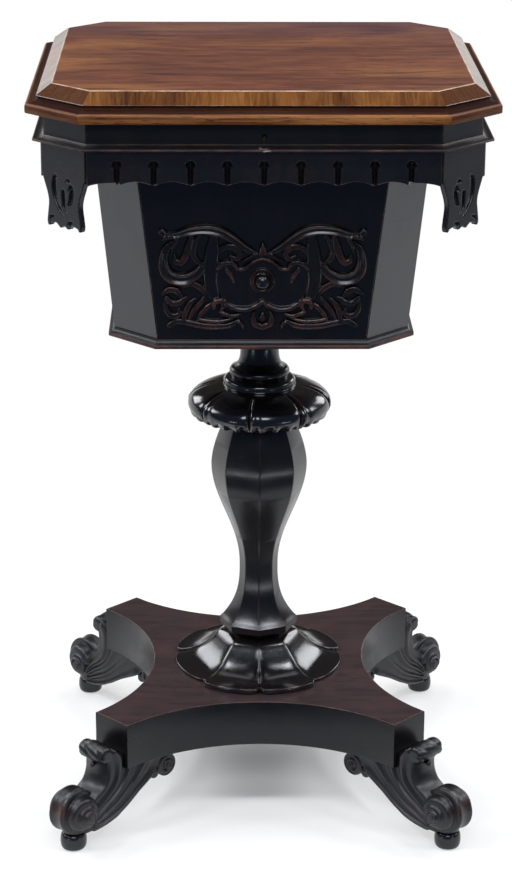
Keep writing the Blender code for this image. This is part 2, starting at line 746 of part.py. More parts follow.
def build_inside():
    mouth = WELL_WALL
    ring = [
        case_ring(-RAIL_THICK - GAP, FLOOR_Z0),
        case_ring(-RAIL_THICK - GAP, FLOOR_Z1),
        [(x, y, FLOOR_Z1) for x, y, _ in well_ring(mouth, WALL_Z1)],
        [(x, y, FLOOR_Z0) for x, y, _ in well_ring(mouth, WALL_Z1)],
    ]
    put("case_floor", shape(ring, closed=True), INSIDE_WOOD)

    mouth_x = WELL_TOP_X - WELL_WALL
    mouth_y = WELL_TOP_Y - WELL_WALL
    room_x = CASE_HALF_X - RAIL_THICK
    room_y = CASE_HALF_Y - RAIL_THICK
    room_cant = CASE_CANT - RAIL_THICK * CANT_RATE
    z0 = FLOOR_Z1 + GAP
    z1 = z0 + GALLERY_HEIGHT
    reach = min(room_y, room_x + room_y - room_cant - mouth_x - GALLERY_THICK) - GAP
    for word, sign in (("left", -1), ("right", 1)):
        xs = sorted((sign * mouth_x, sign * (mouth_x + GALLERY_THICK)))
        put("gallery_" + word, block(*xs, -reach, reach, z0, z1), INSIDE_WOOD)
        outer = sorted((sign * (mouth_x + GALLERY_THICK + GAP), sign * (room_x - GAP)))
        for end, y in (("front", -PARTITION_SPREAD), ("back", PARTITION_SPREAD)):
            name = "partition_" + end + "_" + word
            put(name, block(*outer, y - PARTITION_THICK / 2, y + PARTITION_THICK / 2, z0, z1), INSIDE_WOOD)
    for word, sign in (("front", -1), ("back", 1)):
        ys = sorted((sign * mouth_y, sign * (mouth_y + GALLERY_THICK)))
        put("gallery_" + word, block(-mouth_x + GAP, mouth_x - GAP, *ys, z0, z1), INSIDE_WOOD)


def build_well():
    walls = [
        well_ring(0, WALL_Z0),
        well_ring(0, WALL_Z1),
        well_ring(WELL_WALL, WALL_Z1),
        well_ring(WELL_WALL, WALL_Z0),
    ]
    names = {
        0: "well_front",
        1: "well_corner_front_right",
        2: "well_right",
        3: "well_corner_back_right",
        4: "well_back",
        5: "well_corner_back_left",
        6: "well_left",
        7: "well_corner_front_left",
    }
    for side, name in names.items():
        put(name, member(side, walls), DARK)
    out = WELL_BASE_OUT
    rows = []
    for offset, height in ((0.55, 0.0), (0.90, 0.18), (1.0, 0.45), (0.75, 0.80), (0.0, 1.0)):
        cant = WELL_FOOT_CANT + out * offset * CANT_RATE
        rows.append(octagon(WELL_FOOT_X + out * offset, WELL_FOOT_Y + out * offset, cant,
                            BASE_Z0 + WELL_BASE_THICK * height))
    put("well_base", shape(rows), DARK)
    build_carving()


def carving_point(u, w, height):
    """A point on the sloping well front: across, up the slope from the boss, out of the face."""
    lean = (WELL_TOP_Y - WELL_FOOT_Y) / WELL_WALL_HEIGHT
    length = math.hypot(1.0, lean)
    z = WALL_Z0 + (CARVING_RISE + w - lean * height) / length
    y = -(WELL_FOOT_Y + (CARVING_RISE + w) * lean / length) - height / length
    return (u, y, z)


def stroke_height(u, w, points, width, rise):
    """A rounded band along a line of points."""
    best = 1.0
    for (ax, ay), (bx, by) in zip(points, points[1:]):
        dx = bx - ax
        dy = by - ay
        t = max(0.0, min(1.0, ((u - ax) * dx + (w - ay) * dy) / (dx * dx + dy * dy)))
        best = min(best, math.hypot(u - ax - dx * t, w - ay - dy * t) / width)
    return rise * math.sqrt(max(0.0, 1.0 - best * best))


def carving_strokes():
    """The scroll bands of the right half, as lines in shares of the carving's reach."""
    x = CARVING_HALF_X
    top = CARVING_ABOVE
    low = CARVING_BELOW
    arch = [(0.20, 0.66), (0.30, 0.82), (0.47, 0.94), (0.66, 0.95), (0.84, 0.88), (0.97, 0.84)]
    hook = [(0.97, 0.72), (0.96, 0.42), (0.88, 0.10), (0.76, 0.06)]
    hook += [(0.66, 0.22), (0.66, 0.46), (0.75, 0.56), (0.82, 0.44)]
    shoulder = [(0.05, 0.52), (0.18, 0.46), (0.30, 0.54), (0.42, 0.42), (0.36, 0.24), (0.27, 0.26)]
    border = [(0.0, -0.40), (0.12, -0.52), (0.30, -0.56), (0.42, -0.40), (0.44, 0.0), (0.38, 0.24)]
    base = [(0.16, -0.86), (0.30, -0.94), (0.50, -0.92), (0.66, -0.78), (0.84, -0.88), (0.91, -0.92)]
    spur = [(0.60, 0.02), (0.70, -0.22), (0.88, -0.26), (0.94, -0.16)]
    drop = [(0.0, -0.66), (0.09, -0.74), (0.08, -0.92), (0.0, -0.96)]
    bands = []
    for line, width, rise in (
        (arch, 0.077, 1.0),
        (hook, 0.088, 1.0),
        (shoulder, 0.072, 0.85),
        (border, 0.067, 0.75),
        (base, 0.077, 0.9),
        (spur, 0.072, 0.7),
        (drop, 0.062, 0.8),
    ):
        points = [(a * x, b * (top if b > 0 else low)) for a, b in line]
        bands.append((points, width * x, rise * CARVING_RELIEF))
    return bands


def build_carving():
    bands = carving_strokes()
    above = [(0.0, 0.70), (0.12, 0.66), (0.26, 0.80), (0.45, 1.0), (0.68, 1.0), (1.0, 0.88)]
    below = [(0.0, -1.0), (0.10, -1.0), (0.18, -0.92), (0.40, -1.0), (0.70, -0.92), (1.0, -0.94)]
    across = 40
    up = 20
    bm = bmesh.new()
    front = []
    back = []
    for j in range(up + 1):
        v = j / up
        row = []
        rear = []
        side = 0.90 + 0.10 * math.sin(math.pi * min(1.0, v * 1.02)) + 0.06 * v
        for i in range(across + 1):
            share = 2 * i / across - 1
            u = share * CARVING_HALF_X * min(1.0, side)
            low = through(below, abs(share)) * CARVING_BELOW
            high = through(above, abs(share)) * CARVING_ABOVE
            w = low + (high - low) * v
            rise = max(stroke_height(abs(u), w, *band) for band in bands)
            ground = CARVING_GROUND
            if math.hypot(u, w) < BOSS_SEAT_R:
                ground = BOSS_SEAT
                rise = 0.0
            if i in (0, across) or j in (0, up):
                rise = min(rise, CARVING_GROUND)
            row.append(bm.verts.new(carving_point(u, w, GAP + ground + rise)))
            if i in (0, across) or j in (0, up):
                rear.append((i, j, bm.verts.new(carving_point(u, w, GAP))))
        front.append(row)
        back.extend(rear)
    for j in range(up):
        for i in range(across):
            bm.faces.new((front[j][i], front[j][i + 1], front[j + 1][i + 1], front[j + 1][i]))
    edge = [(i, 0) for i in range(across)] + [(across, j) for j in range(up)]
    edge += [(i, up) for i in range(across, 0, -1)] + [(0, j) for j in range(up, 0, -1)]
    rear = {(i, j): vert for i, j, vert in back}
    for a, b in zip(edge, edge[1:] + edge[:1]):
        bm.faces.new((front[b[1]][b[0]], front[a[1]][a[0]], rear[a], rear[b]))
    bm.faces.new([rear[key] for key in reversed(edge)])
    bmesh.ops.recalc_face_normals(bm, faces=bm.faces)
    mesh = bpy.data.meshes.new("front_carving")
    bm.to_mesh(mesh)
    bm.free()
    put("front_carving", mesh, DARK, True)

    rows = []
    base = GAP + BOSS_SEAT + GAP
    for share, height in ((0.82, 0.0), (1.0, 0.14), (0.98, 0.34), (0.84, 0.66), (0.52, 0.92), (0.18, 1.0)):
        ring = []
        for x, y, _ in circle(BOSS_R * share, 0, 16):
            ring.append(carving_point(x, y, base + BOSS_RISE * height))
        rows.append(ring)
    put("carving_boss", shape(rows), DARK, True)


def turned(stations, z0, height, count, turn=0.0):
    return [circle(radius, z0 + height * share, count, turn) for share, radius in stations]


def bore(obj, radius, z0, z1):
    grow = GAP / math.cos(math.pi / BALUSTER_SIDES)
    boolean(obj, shape([circle(radius + grow, z, BALUSTER_SIDES) for z in (z0, z1)]), "DIFFERENCE")


def build_column():
    half = BEARER_HALF
    edge = BEARER_EDGE
    rows = []
    for size, share in ((half - edge, 0.0), (half, 0.6), (half, 1.0)):
        z = BEARER_Z0 + BEARER_THICK * share
        rows.append(octagon(size, size, size * 0.30, z))
    bearer = put("bearer_block", shape(rows), DARK)
    bore(bearer, SPINDLE_R, BEARER_Z0 - GAP, BEARER_Z0 + SPINDLE_SEAT + GAP)

    stations = (
        (0.0, NECK_RING_R * 0.88),
        (0.05, NECK_RING_R * 0.98),
        (0.12, NECK_RING_R),
        (0.20, NECK_RING_R * 0.95),
        (0.27, NECK_RING_R * 0.82),
        (0.36, NECK_R * 1.13),
        (0.55, NECK_R),
        (0.76, NECK_R * 1.04),
        (0.88, NECK_HEAD_R * 0.74),
        (0.95, NECK_HEAD_R),
        (1.0, NECK_HEAD_R),
    )
    neck = put("column_neck", shape(turned(stations, NECK_Z0, NECK_HEIGHT, 20)), DARK, True)
    bore(neck, SPINDLE_R, NECK_Z0 - GAP, NECK_Z1 + GAP)

    stations = (
        (0.0, 0.58),
        (0.13, 0.72),
        (0.20, 0.90),
        (0.30, 0.97),
        (0.44, 1.0),
        (0.58, 0.96),
        (0.70, 0.84),
        (0.80, 0.62),
    )
    spokes = 5 * COLLAR_LOBES
    rows = []
    for share, size in stations:
        row = []
        for i in range(spokes):
            u = 2 * (i % 5) / 5 - 1
            angle = 2 * math.pi * (i - 2.5) / spokes - math.pi / 2 + math.radians(COLLAR_TURN)
            radius = COLLAR_R * size - COLLAR_SEAM * abs(u) ** 3 * (size - COLLAR_NECK)
            z = COLLAR_Z0 + COLLAR_HEIGHT * share
            row.append((radius * math.cos(angle), radius * math.sin(angle), z))
        rows.append(row)
    for share, radius in ((0.83, COLLAR_RING_R), (0.94, COLLAR_RING_R), (1.0, COLLAR_HEAD_R)):
        turn = math.radians(COLLAR_TURN) - math.pi / 2 - math.pi / COLLAR_LOBES
        rows.append(circle(radius, COLLAR_Z0 + COLLAR_HEIGHT * share, spokes, turn))
    collar = put("column_collar", shape(rows), DARK, True)
    bore(collar, SPINDLE_R, COLLAR_Z0 - GAP, COLLAR_Z1 + GAP)

    rings = [(-LOTUS_HEIGHT - 2 * GAP - TENON_SEAT, TENON_R), (0.0, TENON_R), (0.0, BALUSTER_FOOT_R)]
    rings += [(RIM_LOW * 0.6, BALUSTER_FOOT_R), (RIM_LOW, RIM_R), (RIM_HIGH, RIM_R)]
    for i in range(1, 6):
        t = i / 5
        height = RIM_HIGH + (WAIST_HEIGHT - RIM_HIGH) * t
        rings.append((height, RIM_R + (WAIST_R - RIM_R) * (1 - (1 - t) ** 2.8)))
    for i in range(1, 8):
        t = i / 7
        height = WAIST_HEIGHT + (BELLY_HEIGHT - WAIST_HEIGHT) * t
        rings.append((height, WAIST_R + (BELLY_R - WAIST_R) * ease(t, 1.08)))
    for i in range(1, 4):
        t = i / 3
        height = BELLY_HEIGHT + (BALUSTER_HEIGHT - BELLY_HEIGHT) * t
        rings.append((height, BELLY_R + (BALUSTER_HEAD_R - BELLY_R) * t ** 1.7))
    rings.append((BALUSTER_HEIGHT, SPINDLE_R))
    rings.append((BALUSTER_HEIGHT + COLLAR_HEIGHT + NECK_HEIGHT + 3 * GAP + SPINDLE_SEAT, SPINDLE_R))
    rows = [circle(radius, BALUSTER_Z0 + height, BALUSTER_SIDES) for height, radius in rings]
    put("column_baluster", shape(rows), DARK)

    build_lotus()


def build_lotus():
    """Eight petals that fall from the column in an ogee and end in scallops on the platform."""
    spokes = 6 * LOTUS_PETALS
    stations = ((0.24, 0.90), (0.42, 0.74), (0.62, 0.52), (0.82, 0.30), (0.95, 0.10))
    rows = []

    def spoke(i, radius, z):
        angle = 2 * math.pi * i / spokes - math.pi / 2
        return (radius * math.cos(angle), radius * math.sin(angle), z)

    def rim(i):
        return LOTUS_R - LOTUS_SCALLOP * abs(2 * (i % 6) / 6 - 1) ** 4

    rows.append([spoke(i, rim(i) - LOTUS_LIP * 0.2, LOTUS_Z0) for i in range(spokes)])
    rows.append([spoke(i, rim(i), LOTUS_Z0 + LOTUS_LIP * 0.5) for i in range(spokes)])
    rows.append([spoke(i, rim(i) - LOTUS_LIP * 0.3, LOTUS_Z0 + LOTUS_LIP) for i in range(spokes)])
    fall = LOTUS_HEIGHT - LOTUS_LIP
    for share, out in stations:
        z = LOTUS_Z0 + LOTUS_LIP + fall * share
        row = []
        for i in range(spokes):
            u = 2 * (i % 6) / 6 - 1
            crown = 0.05 * (1 - u * u) * math.sin(math.pi * min(1.0, share * 1.2))
            radius = LOTUS_TOP_R + (rim(i) - LOTUS_LIP - LOTUS_TOP_R) * (out ** 1.25 + crown)
            row.append(spoke(i, radius, z))
        rows.append(row)
    rows.append([spoke(i, LOTUS_TOP_R, LOTUS_Z1) for i in range(spokes)])
    lotus = put("column_lotus", shape(rows), DARK, True)
    bore(lotus, TENON_R, LOTUS_Z0 - GAP, LOTUS_Z1 + GAP)


def build_platform():
    """A square whose four sides are hollow arcs and whose corners are cut square to the diagonal."""
    sag = PLATFORM_HALF - PLATFORM_WAIST
    chord = PLATFORM_CORNER
    radius = (chord * chord + sag * sag) / (2 * sag)
    reach = math.asin(chord / radius)
    outline = []
    for side in range(4):
        turn = math.pi / 2 * side
        for i in range(13):
            angle = -reach + 2 * reach * i / 12
            x = radius * math.sin(angle)
            y = -(PLATFORM_WAIST + radius) + radius * math.cos(angle)
            c = math.cos(turn)
            s = math.sin(turn)
            outline.append((x * c - y * s, x * s + y * c))
    slim = inset(outline, PLATFORM_EDGE)
    rows = []
    for line, z in (
        (slim, PLATFORM_UNDERSIDE),
        (outline, PLATFORM_UNDERSIDE + PLATFORM_EDGE),
        (outline, PLATFORM_TOP - PLATFORM_EDGE),
        (slim, PLATFORM_TOP),
    ):
        rows.append([(x, y, z) for x, y in line])
    platform = put("base_platform", shape(rows))
    bore(platform, TENON_R, PLATFORM_TOP - TENON_SEAT - GAP, PLATFORM_TOP + GAP)
    platform.data.materials.append(material("base_platform", PLATFORM_WOOD))


def roll(r, z, stations, count=16):
    """A turned roll across the foot: stations of (half width place, radius)."""
    rows = []
    for y, radius in stations:
        rows.append([(a, y, b) for a, b, _ in circle(radius, 0, count, math.pi / count, r, z)])
    return shape(rows)


def inset(outline, amount):
    """An outline moved in by an amount, along the mean of the two edges' normals at each point."""
    area = sum(a[0] * b[1] - b[0] * a[1] for a, b in zip(outline, outline[1:] + outline[:1]))
    sign = 1 if area > 0 else -1
    moved = []
    for before, here, after in zip(outline[-1:] + outline[:-1], outline, outline[1:] + outline[:1]):
        nx = ny = 0.0
        for a, b in ((before, here), (here, after)):
            length = math.hypot(b[0] - a[0], b[1] - a[1])
            nx -= sign * (b[1] - a[1]) / length
            ny += sign * (b[0] - a[0]) / length
        length = max(0.5, (nx * nx + ny * ny) / 2)
        moved.append((here[0] + nx * amount / length, here[1] + ny * amount / length))
    return moved


def reed_groove(line, rise, side):
    """A vee groove on one side of a foot, at a distance above its strap that closes up to the toe."""
    rows = []
    depth = math.copysign(REED_DEPTH, side)
    last = len(line) - 1
    for i, (r, z) in enumerate(line):
        before = line[max(0, i - 1)]
        after = line[min(last, i + 1)]
        dr = after[0] - before[0]
        dz = after[1] - before[1]
        length = math.hypot(dr, dz)
        nr = dz / length
        nz = -dr / length
        up = rise * (0.70 + 0.30 * i / last)
        low = up - REED_WIDTH / 2
        high = up + REED_WIDTH / 2
        rows.append([
            (r + nr * low, side + depth * 0.2, z + nz * low),
            (r + nr * up, side - depth, z + nz * up),
            (r + nr * high, side + depth * 0.2, z + nz * high),
        ])
    return shape(rows)


def build_feet():
    back = CORNER_R + GAP
    ceiling = PLATFORM_UNDERSIDE - GAP
    curl = (CORNER_R + CURL_OUT, CURL_HEIGHT)
    toe = (CORNER_R + TOE_OUT, TOE_HEIGHT)
    scroll = (CORNER_R - SCROLL_IN, PLATFORM_UNDERSIDE - SCROLL_DROP)
    neck = CORNER_R + NECK_FRONT
    front = curve([
        (curl[0] + CURL_R * 0.1, curl[1] - CURL_R * 0.9),
        (neck, (curl[1] + toe[1]) / 2 + CURL_R * 0.2),
        (toe[0] - TOE_R * 0.80, toe[1] + TOE_R * 0.72),
    ], 3)
    low = (toe[0] - TOE_R * 0.62, STRAP_HEIGHT)
    high = (scroll[0] + SCROLL_R * 1.80, scroll[1] - SCROLL_R * 0.36)
    middle = ((low[0] + high[0]) / 2, (low[1] + high[1]) / 2 - STRAP_SAG)
    strap = curve([(toe[0] - TOE_R * 0.10, toe[1] - TOE_R * 0.97), low, middle, high], 4)
    outline = [(back, ceiling), (back, curl[1] - CURL_R * 0.5)]
    outline.append((back + CURL_R * 0.55, curl[1] - CURL_R * 0.15))
    outline.append((curl[0] - CURL_R * 0.4, curl[1] + CURL_R * 0.7))
    outline += [curl, *front, toe, *strap, (scroll[0] + SCROLL_R * 0.9, scroll[1] + SCROLL_R * 0.3), scroll]
    outline.append((scroll[0] - SCROLL_R * 0.7, scroll[1] + SCROLL_R * 0.6))
    outline.append((scroll[0] - SCROLL_R * 0.4, ceiling))
    half = FOOT_WIDTH / 2
    slim = inset(outline, FOOT_ROUND * 0.75)
    rows = []
    flat = half - FOOT_ROUND
    for y, line in ((-half, slim), (-flat, outline), (flat, outline), (half, slim)):
        rows.append([(r, y, z) for r, z in line])
    foot = put("foot", shape(rows))
    for sign in (-1, 1):
        for i in range(1, REEDS):
            boolean(foot, reed_groove(strap[3:], i * REED_PITCH, sign * half), "DIFFERENCE")

    inner = CURL_WIDTH / 2
    boolean(foot, roll(*curl, (
        (-inner, CURL_R * 0.72), (-inner * 0.72, CURL_R), (inner * 0.72, CURL_R), (inner, CURL_R * 0.72),
    ), 12), "UNION")
    side = SCROLL_WIDTH / 2
    boolean(foot, roll(*scroll, ((-side, SCROLL_R), (side, SCROLL_R)), 14), "UNION")
    flank = TOE_WIDTH / 2
    face = TOE_TURN_WIDTH / 2
    boolean(foot, roll(*toe, (
        (-face - TOE_EYE_RISE, TOE_EYE_R * 0.6),
        (-face - TOE_EYE_RISE * 0.7, TOE_EYE_R),
        (-face, TOE_EYE_R * 1.1),
        (-face, TOE_TURN_R * 0.92),
        (-flank * 1.35, TOE_TURN_R),
        (-flank, TOE_R),
        (flank, TOE_R),
        (flank * 1.35, TOE_TURN_R),
        (face, TOE_TURN_R * 0.92),
        (face, TOE_EYE_R * 1.1),
        (face + TOE_EYE_RISE * 0.7, TOE_EYE_R),
        (face + TOE_EYE_RISE, TOE_EYE_R * 0.6),
    )), "UNION")
    pad_r = CORNER_R + PAD_OUT
    seat = [circle(PAD_SEAT_R, z, 10, 0.0, pad_r) for z in (PAD_HEIGHT + GAP, TOE_HEIGHT)]
    boolean(foot, shape(seat), "UNION")
    mesh = foot.data
    bpy.data.objects.remove(foot, do_unlink=True)

    pad = shape([
        circle(PAD_SOLE_R, 0.0, 12, 0.0, pad_r),
        circle(PAD_R * 0.90, PAD_HEIGHT * 0.17, 12, 0.0, pad_r),
        circle(PAD_R, PAD_HEIGHT * 0.48, 12, 0.0, pad_r),
        circle(PAD_R * 0.90, PAD_HEIGHT * 0.80, 12, 0.0, pad_r),
        circle(PAD_SEAT_R * 0.9, PAD_HEIGHT, 12, 0.0, pad_r),
    ])
    places = (("front_right", -45), ("back_right", 45), ("back_left", 135), ("front_left", -135))
    for word, turn in places:
        for name, shared in (("foot_", mesh), ("foot_pad_", pad)):
            obj = put(name + word, shared.copy(), DARK, True)
            obj.rotation_euler = (0.0, 0.0, math.radians(turn))
    bpy.data.meshes.remove(mesh)
    bpy.data.meshes.remove(pad)


clear_scene()
build_lid()
build_frieze()
build_inside()
build_well()
build_column()
build_platform()
build_feet()
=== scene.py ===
"""Looks of the work table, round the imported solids: carved dark wood, a figured lid and brass fittings."""

import math

import bpy
import numpy as np
from mathutils import Matrix, Vector


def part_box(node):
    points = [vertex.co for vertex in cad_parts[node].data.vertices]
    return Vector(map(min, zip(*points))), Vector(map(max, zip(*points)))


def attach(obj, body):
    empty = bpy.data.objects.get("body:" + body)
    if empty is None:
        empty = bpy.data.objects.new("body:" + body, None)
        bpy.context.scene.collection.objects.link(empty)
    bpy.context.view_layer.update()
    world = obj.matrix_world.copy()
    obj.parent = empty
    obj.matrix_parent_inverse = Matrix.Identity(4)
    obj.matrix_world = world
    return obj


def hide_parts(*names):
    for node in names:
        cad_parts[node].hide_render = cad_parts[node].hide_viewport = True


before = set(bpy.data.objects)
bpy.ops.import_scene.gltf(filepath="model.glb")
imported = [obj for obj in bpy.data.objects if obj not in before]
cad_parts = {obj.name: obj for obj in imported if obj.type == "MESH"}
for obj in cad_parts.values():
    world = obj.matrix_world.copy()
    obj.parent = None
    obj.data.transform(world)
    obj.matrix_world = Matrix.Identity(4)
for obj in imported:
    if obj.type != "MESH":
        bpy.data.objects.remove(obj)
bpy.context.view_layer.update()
SCENE = bpy.context.scene


def heights(node):
    """The lowest and the highest place of a solid."""
    low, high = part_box(node)
    return low.z, high.z


# Sizes shared with the solids, in metres
GAP = 0.0003
CASE_X, CASE_Y, CASE_CANT = 0.203, 0.188, 0.0415
CANT_RATE = 2 - math.sqrt(2)
MITRE = math.tan(math.radians(22.5))
RAIL_THICK = 0.018
RAIL_Z0, RAIL_Z1 = heights("frieze_front")
LID_Z0, LID_Z1 = heights("lid_top")
LID_OVERHANG, LID_BEVEL_OUT, LID_BEVEL_DROP = 0.0166, 0.0150, 0.0110
LID_FIELD_IN, LID_FILLET_IN = 0.0084, 0.0026
MOULD_PROUD = 0.0105
APRON_Z1 = heights("apron_front")[1]
APRON_PROUD, APRON_DROP = 0.003, 0.0342
FLUTE_PITCH = 0.0336
PENDANT_DROP = 0.0790
WELL_FOOT_X, WELL_FOOT_Y, WELL_FOOT_Z = 0.1426, 0.1280, 0.5118
WELL_FOOT_CANT, WELL_CANT_LOSS = 0.0425, 0.0025
WELL_TAPER, WELL_TALL, WELL_WALL = 0.0166, 0.1774, 0.0095
CARVING_RISE = 0.0605
COLLAR_R = 0.0727
PLATFORM_CORNER, PLATFORM_WAIST = 0.1326, 0.1095
CORNER_R, PAD_R = 0.21058, 0.26398
SIDES = ("front", "back", "left", "right")
CORNERS = ("front_left", "front_right", "back_left", "back_right")


# Small geometry helpers


def rise(x, start, width):
    """From 0 at a start to 1 one width further on."""
    return np.clip((x - start) / width, 0, 1)


def fall(x, end, width):
    """From 1 one width before an end to 0 at it."""
    return np.clip((end - x) / width, 0, 1)


def bell(x, middle, width):
    """A smooth hump of height 1."""
    return np.exp(-((x - middle) / width) ** 2)


def unit(v):
    """The same direction, one long."""
    return v / np.linalg.norm(v)


def spline(points, steps):
    """Points along a smooth curve through the given ones."""
    p = np.array([points[0], *points, points[-1]], float)
    line = []
    for i in range(1, len(p) - 2):
        a, b, c, d = p[i - 1:i + 3]
        for k in range(steps):
            t = k / steps
            line.append(0.5 * (2 * b + (c - a) * t + (2 * a - 5 * b + 4 * c - d) * t * t
                               + (3 * b - a - 3 * c + d) * t ** 3))
    line.append(p[-1])
    return np.array(line)


def bow(a, middle, b, count):
    """Points from one place to another on a curve that is drawn towards a middle one."""
    t = np.linspace(0, 1, count)[:, None]
    return (1 - t) ** 2 * a + 2 * t * (1 - t) * middle + t * t * b


def line_distance(x, y, line):
    """Distance of points to a line of points, and how far along it the nearest place is, from 0 to 1."""
    best = np.full(x.shape, 1e9)
    place = np.zeros(x.shape)
    count = len(line) - 1
    for i in range(count):
        ax, ay = line[i]
        dx, dy = line[i + 1] - line[i]
        t = np.clip(((x - ax) * dx + (y - ay) * dy) / max(dx * dx + dy * dy, 1e-18), 0, 1)
        d = np.hypot(x - ax - dx * t, y - ay - dy * t)
        nearer = d < best
        best = np.where(nearer, d, best)
        place = np.where(nearer, (i + t) / count, place)
    return best, place


def outline_distance(x, y, outline):
    """Signed distance to a closed outline, negative inside."""
    outline = np.array(outline, float)
    ring = np.vstack([outline, outline[:1]])
    d, _ = line_distance(x, y, ring)
    inside = np.zeros(x.shape, bool)
    for a, b in zip(ring, ring[1:]):
        spans = (a[1] > y) != (b[1] > y)
        height = b[1] - a[1] if abs(b[1] - a[1]) > 1e-15 else 1e-15
        inside ^= spans & (x < a[0] + (y - a[1]) * (b[0] - a[0]) / height)
    return np.where(inside, -d, d)


def rounded(a, b, radius):
    """The meeting of two distances with a rounded outer edge."""
    a = a + radius
    b = b + radius
    return np.minimum(np.maximum(a, b), 0) + np.hypot(np.maximum(a, 0), np.maximum(b, 0)) - radius


def merge(a, b, k):
    """The smooth union of two distances."""
    h = np.clip(0.5 + 0.5 * (b - a) / k, 0, 1)
    return b + (a - b) * h - k * h * (1 - h)


def carve(a, b, k):
    """One distance with another cut out of it, with a soft edge."""
    return -merge(-a, b, k)


def nets(values, axes, step):
    """A closed surface where a grid of distances changes sign."""
    inside = values < 0
    n = np.array(values.shape)
    corners = np.array([(i, j, k) for i in (0, 1) for j in (0, 1) for k in (0, 1)])
    count = np.zeros(n - 1, np.uint8)
    for i, j, k in corners:
        count += inside[i:n[0] - 1 + i, j:n[1] - 1 + j, k:n[2] - 1 + k]
    cells = np.argwhere((count > 0) & (count < 8))
    total = np.zeros((len(cells), 3))
    hits = np.zeros(len(cells))
    for a in corners:
        for b in a + np.eye(3, dtype=int)[a == 0]:
            va = values[tuple((cells + a).T)]
            vb = values[tuple((cells + b).T)]
            crossed = (va < 0) != (vb < 0)
            t = np.where(crossed, va / np.where(crossed, va - vb, 1), 0)
            total += (a + t[:, None] * (b - a)) * crossed[:, None]
            hits += crossed
    verts = np.array([axis[0] for axis in axes]) + step * (cells + total / hits[:, None])
    index = np.full(n - 1, -1, np.int64)
    index[tuple(cells.T)] = np.arange(len(cells))
    faces = []
    for axis in range(3):
        u, v = (axis + 1) % 3, (axis + 2) % 3
        low = [slice(1, m - 1) for m in n]
        high = list(low)
        low[axis] = slice(0, n[axis] - 1)
        high[axis] = slice(1, n[axis])
        first = inside[tuple(low)]
        edge = np.argwhere(first != inside[tuple(high)])
        flip = ~first[tuple(edge.T)]
        edge[:, [u, v]] += 1
        quad = []
        for du, dv in ((-1, -1), (0, -1), (0, 0), (-1, 0)):
            cell = edge.copy()
            cell[:, u] += du
            cell[:, v] += dv
            quad.append(index[tuple(cell.T)])
        quad = np.array(quad).T
        quad[flip] = quad[flip][:, ::-1]
        faces.append(quad)
    return verts, np.vstack(faces)


def neighbours(verts, faces):
    """Both ends of the edges of all faces, each way round, and how many neighbours a point has."""
    a = faces.ravel()
    b = np.roll(faces, -1, axis=1).ravel()
    one = np.concatenate([a, b])
    return one, np.concatenate([b, a]), np.bincount(one, minlength=len(verts))


def relax(verts, faces, rounds, share):
    """Points moved towards the mean of their neighbours."""
    one, two, degree = neighbours(verts, faces)
    for _ in range(rounds):
        mean = np.stack([np.bincount(one, verts[two, i], len(verts)) for i in range(3)], 1)
        verts = verts + share * (mean / degree[:, None] - verts)
    return verts


def convexity(verts, faces, rounds):
    """How far each point stands out from its neighbours, in metres."""
    one, two, degree = neighbours(verts, faces)
    normal = np.zeros_like(verts)
    across = np.cross(verts[faces[:, 2]] - verts[faces[:, 0]], verts[faces[:, 3]] - verts[faces[:, 1]])
    for corner in range(4):
        for i in range(3):
            normal[:, i] += np.bincount(faces[:, corner], across[:, i], len(verts))
    normal /= np.linalg.norm(normal, axis=1)[:, None] + 1e-15
    smooth = relax(verts, faces, 4, 0.6)
    out = ((verts - smooth) * normal).sum(1)
    for _ in range(rounds):
        out = 0.5 * out + 0.5 * np.bincount(one, out[two], len(verts)) / degree
    return out


def loft(rows, ring=False):
    """Points and faces through rows of points, closed on themselves or with a fan of faces at each end."""
    rows = np.array(rows, float)
    m, n = rows.shape[:2]
    faces = []
    for i in range(m if ring else m - 1):
        k = (i + 1) % m
        for j in range(n):
            q = (j + 1) % n
            faces.append((i * n + j, i * n + q, k * n + q, k * n + j))
    verts = rows.reshape(-1, 3)
    if not ring:
        verts = np.vstack([verts, rows[0].mean(0), rows[-1].mean(0)])
        for j in range(n):
            q = (j + 1) % n
            faces.append((m * n, q, j))
            faces.append((m * n + 1, (m - 1) * n + j, (m - 1) * n + q))
    return verts, faces


def new_object(name, data):
    """An object in the scene."""
    obj = bpy.data.objects.new(name, data)
    SCENE.collection.objects.link(obj)
    return obj


def piece(name, verts, faces, material, nodes=(), body="table", sharp=35.0, wear=None):
    """A visible piece that rides on a body, in place of the solids that are named."""
    mesh = bpy.data.meshes.new(name)
    mesh.from_pydata(np.asarray(verts).tolist(), [], [list(map(int, f)) for f in faces])
    mesh.update()
    obj = new_object(name, mesh)
    mesh.materials.append(material)
    mesh.shade_smooth()
    if sharp < 180:
        mesh.set_sharp_from_angle(angle=math.radians(sharp))
    if wear is not None:
        wear = np.ravel(wear)
        values = np.zeros(len(verts), np.float32)
        values[:len(wear)] = np.clip(wear, 0, 1)
        layer = mesh.attributes.new("wear", "FLOAT", "POINT")
        layer.data.foreach_set("value", values)
    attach(obj, body)
    if nodes:
        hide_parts(*nodes)
    return obj


def level(xy, z):
    """Flat points at one height, or each at its own."""
    return np.column_stack([xy, z + np.zeros(len(xy))])


def circle(radius, z, count, x=0.0, y=0.0):
    """A ring of points round an upright axis."""
    angle = np.linspace(0, 2 * math.pi, count, endpoint=False)
    return level(np.column_stack([x + radius * np.cos(angle), y + radius * np.sin(angle)]), z)


def eight_corners(half_x, half_y, cant):
    """Corners of an eight-sided outline, from the left end of its front."""
    in_x, in_y = half_x - cant, half_y - cant
    return np.array([(-in_x, -half_y), (in_x, -half_y), (half_x, -in_y), (half_x, in_y),
                     (in_x, half_y), (-in_x, half_y), (-half_x, in_y), (-half_x, -in_y)])


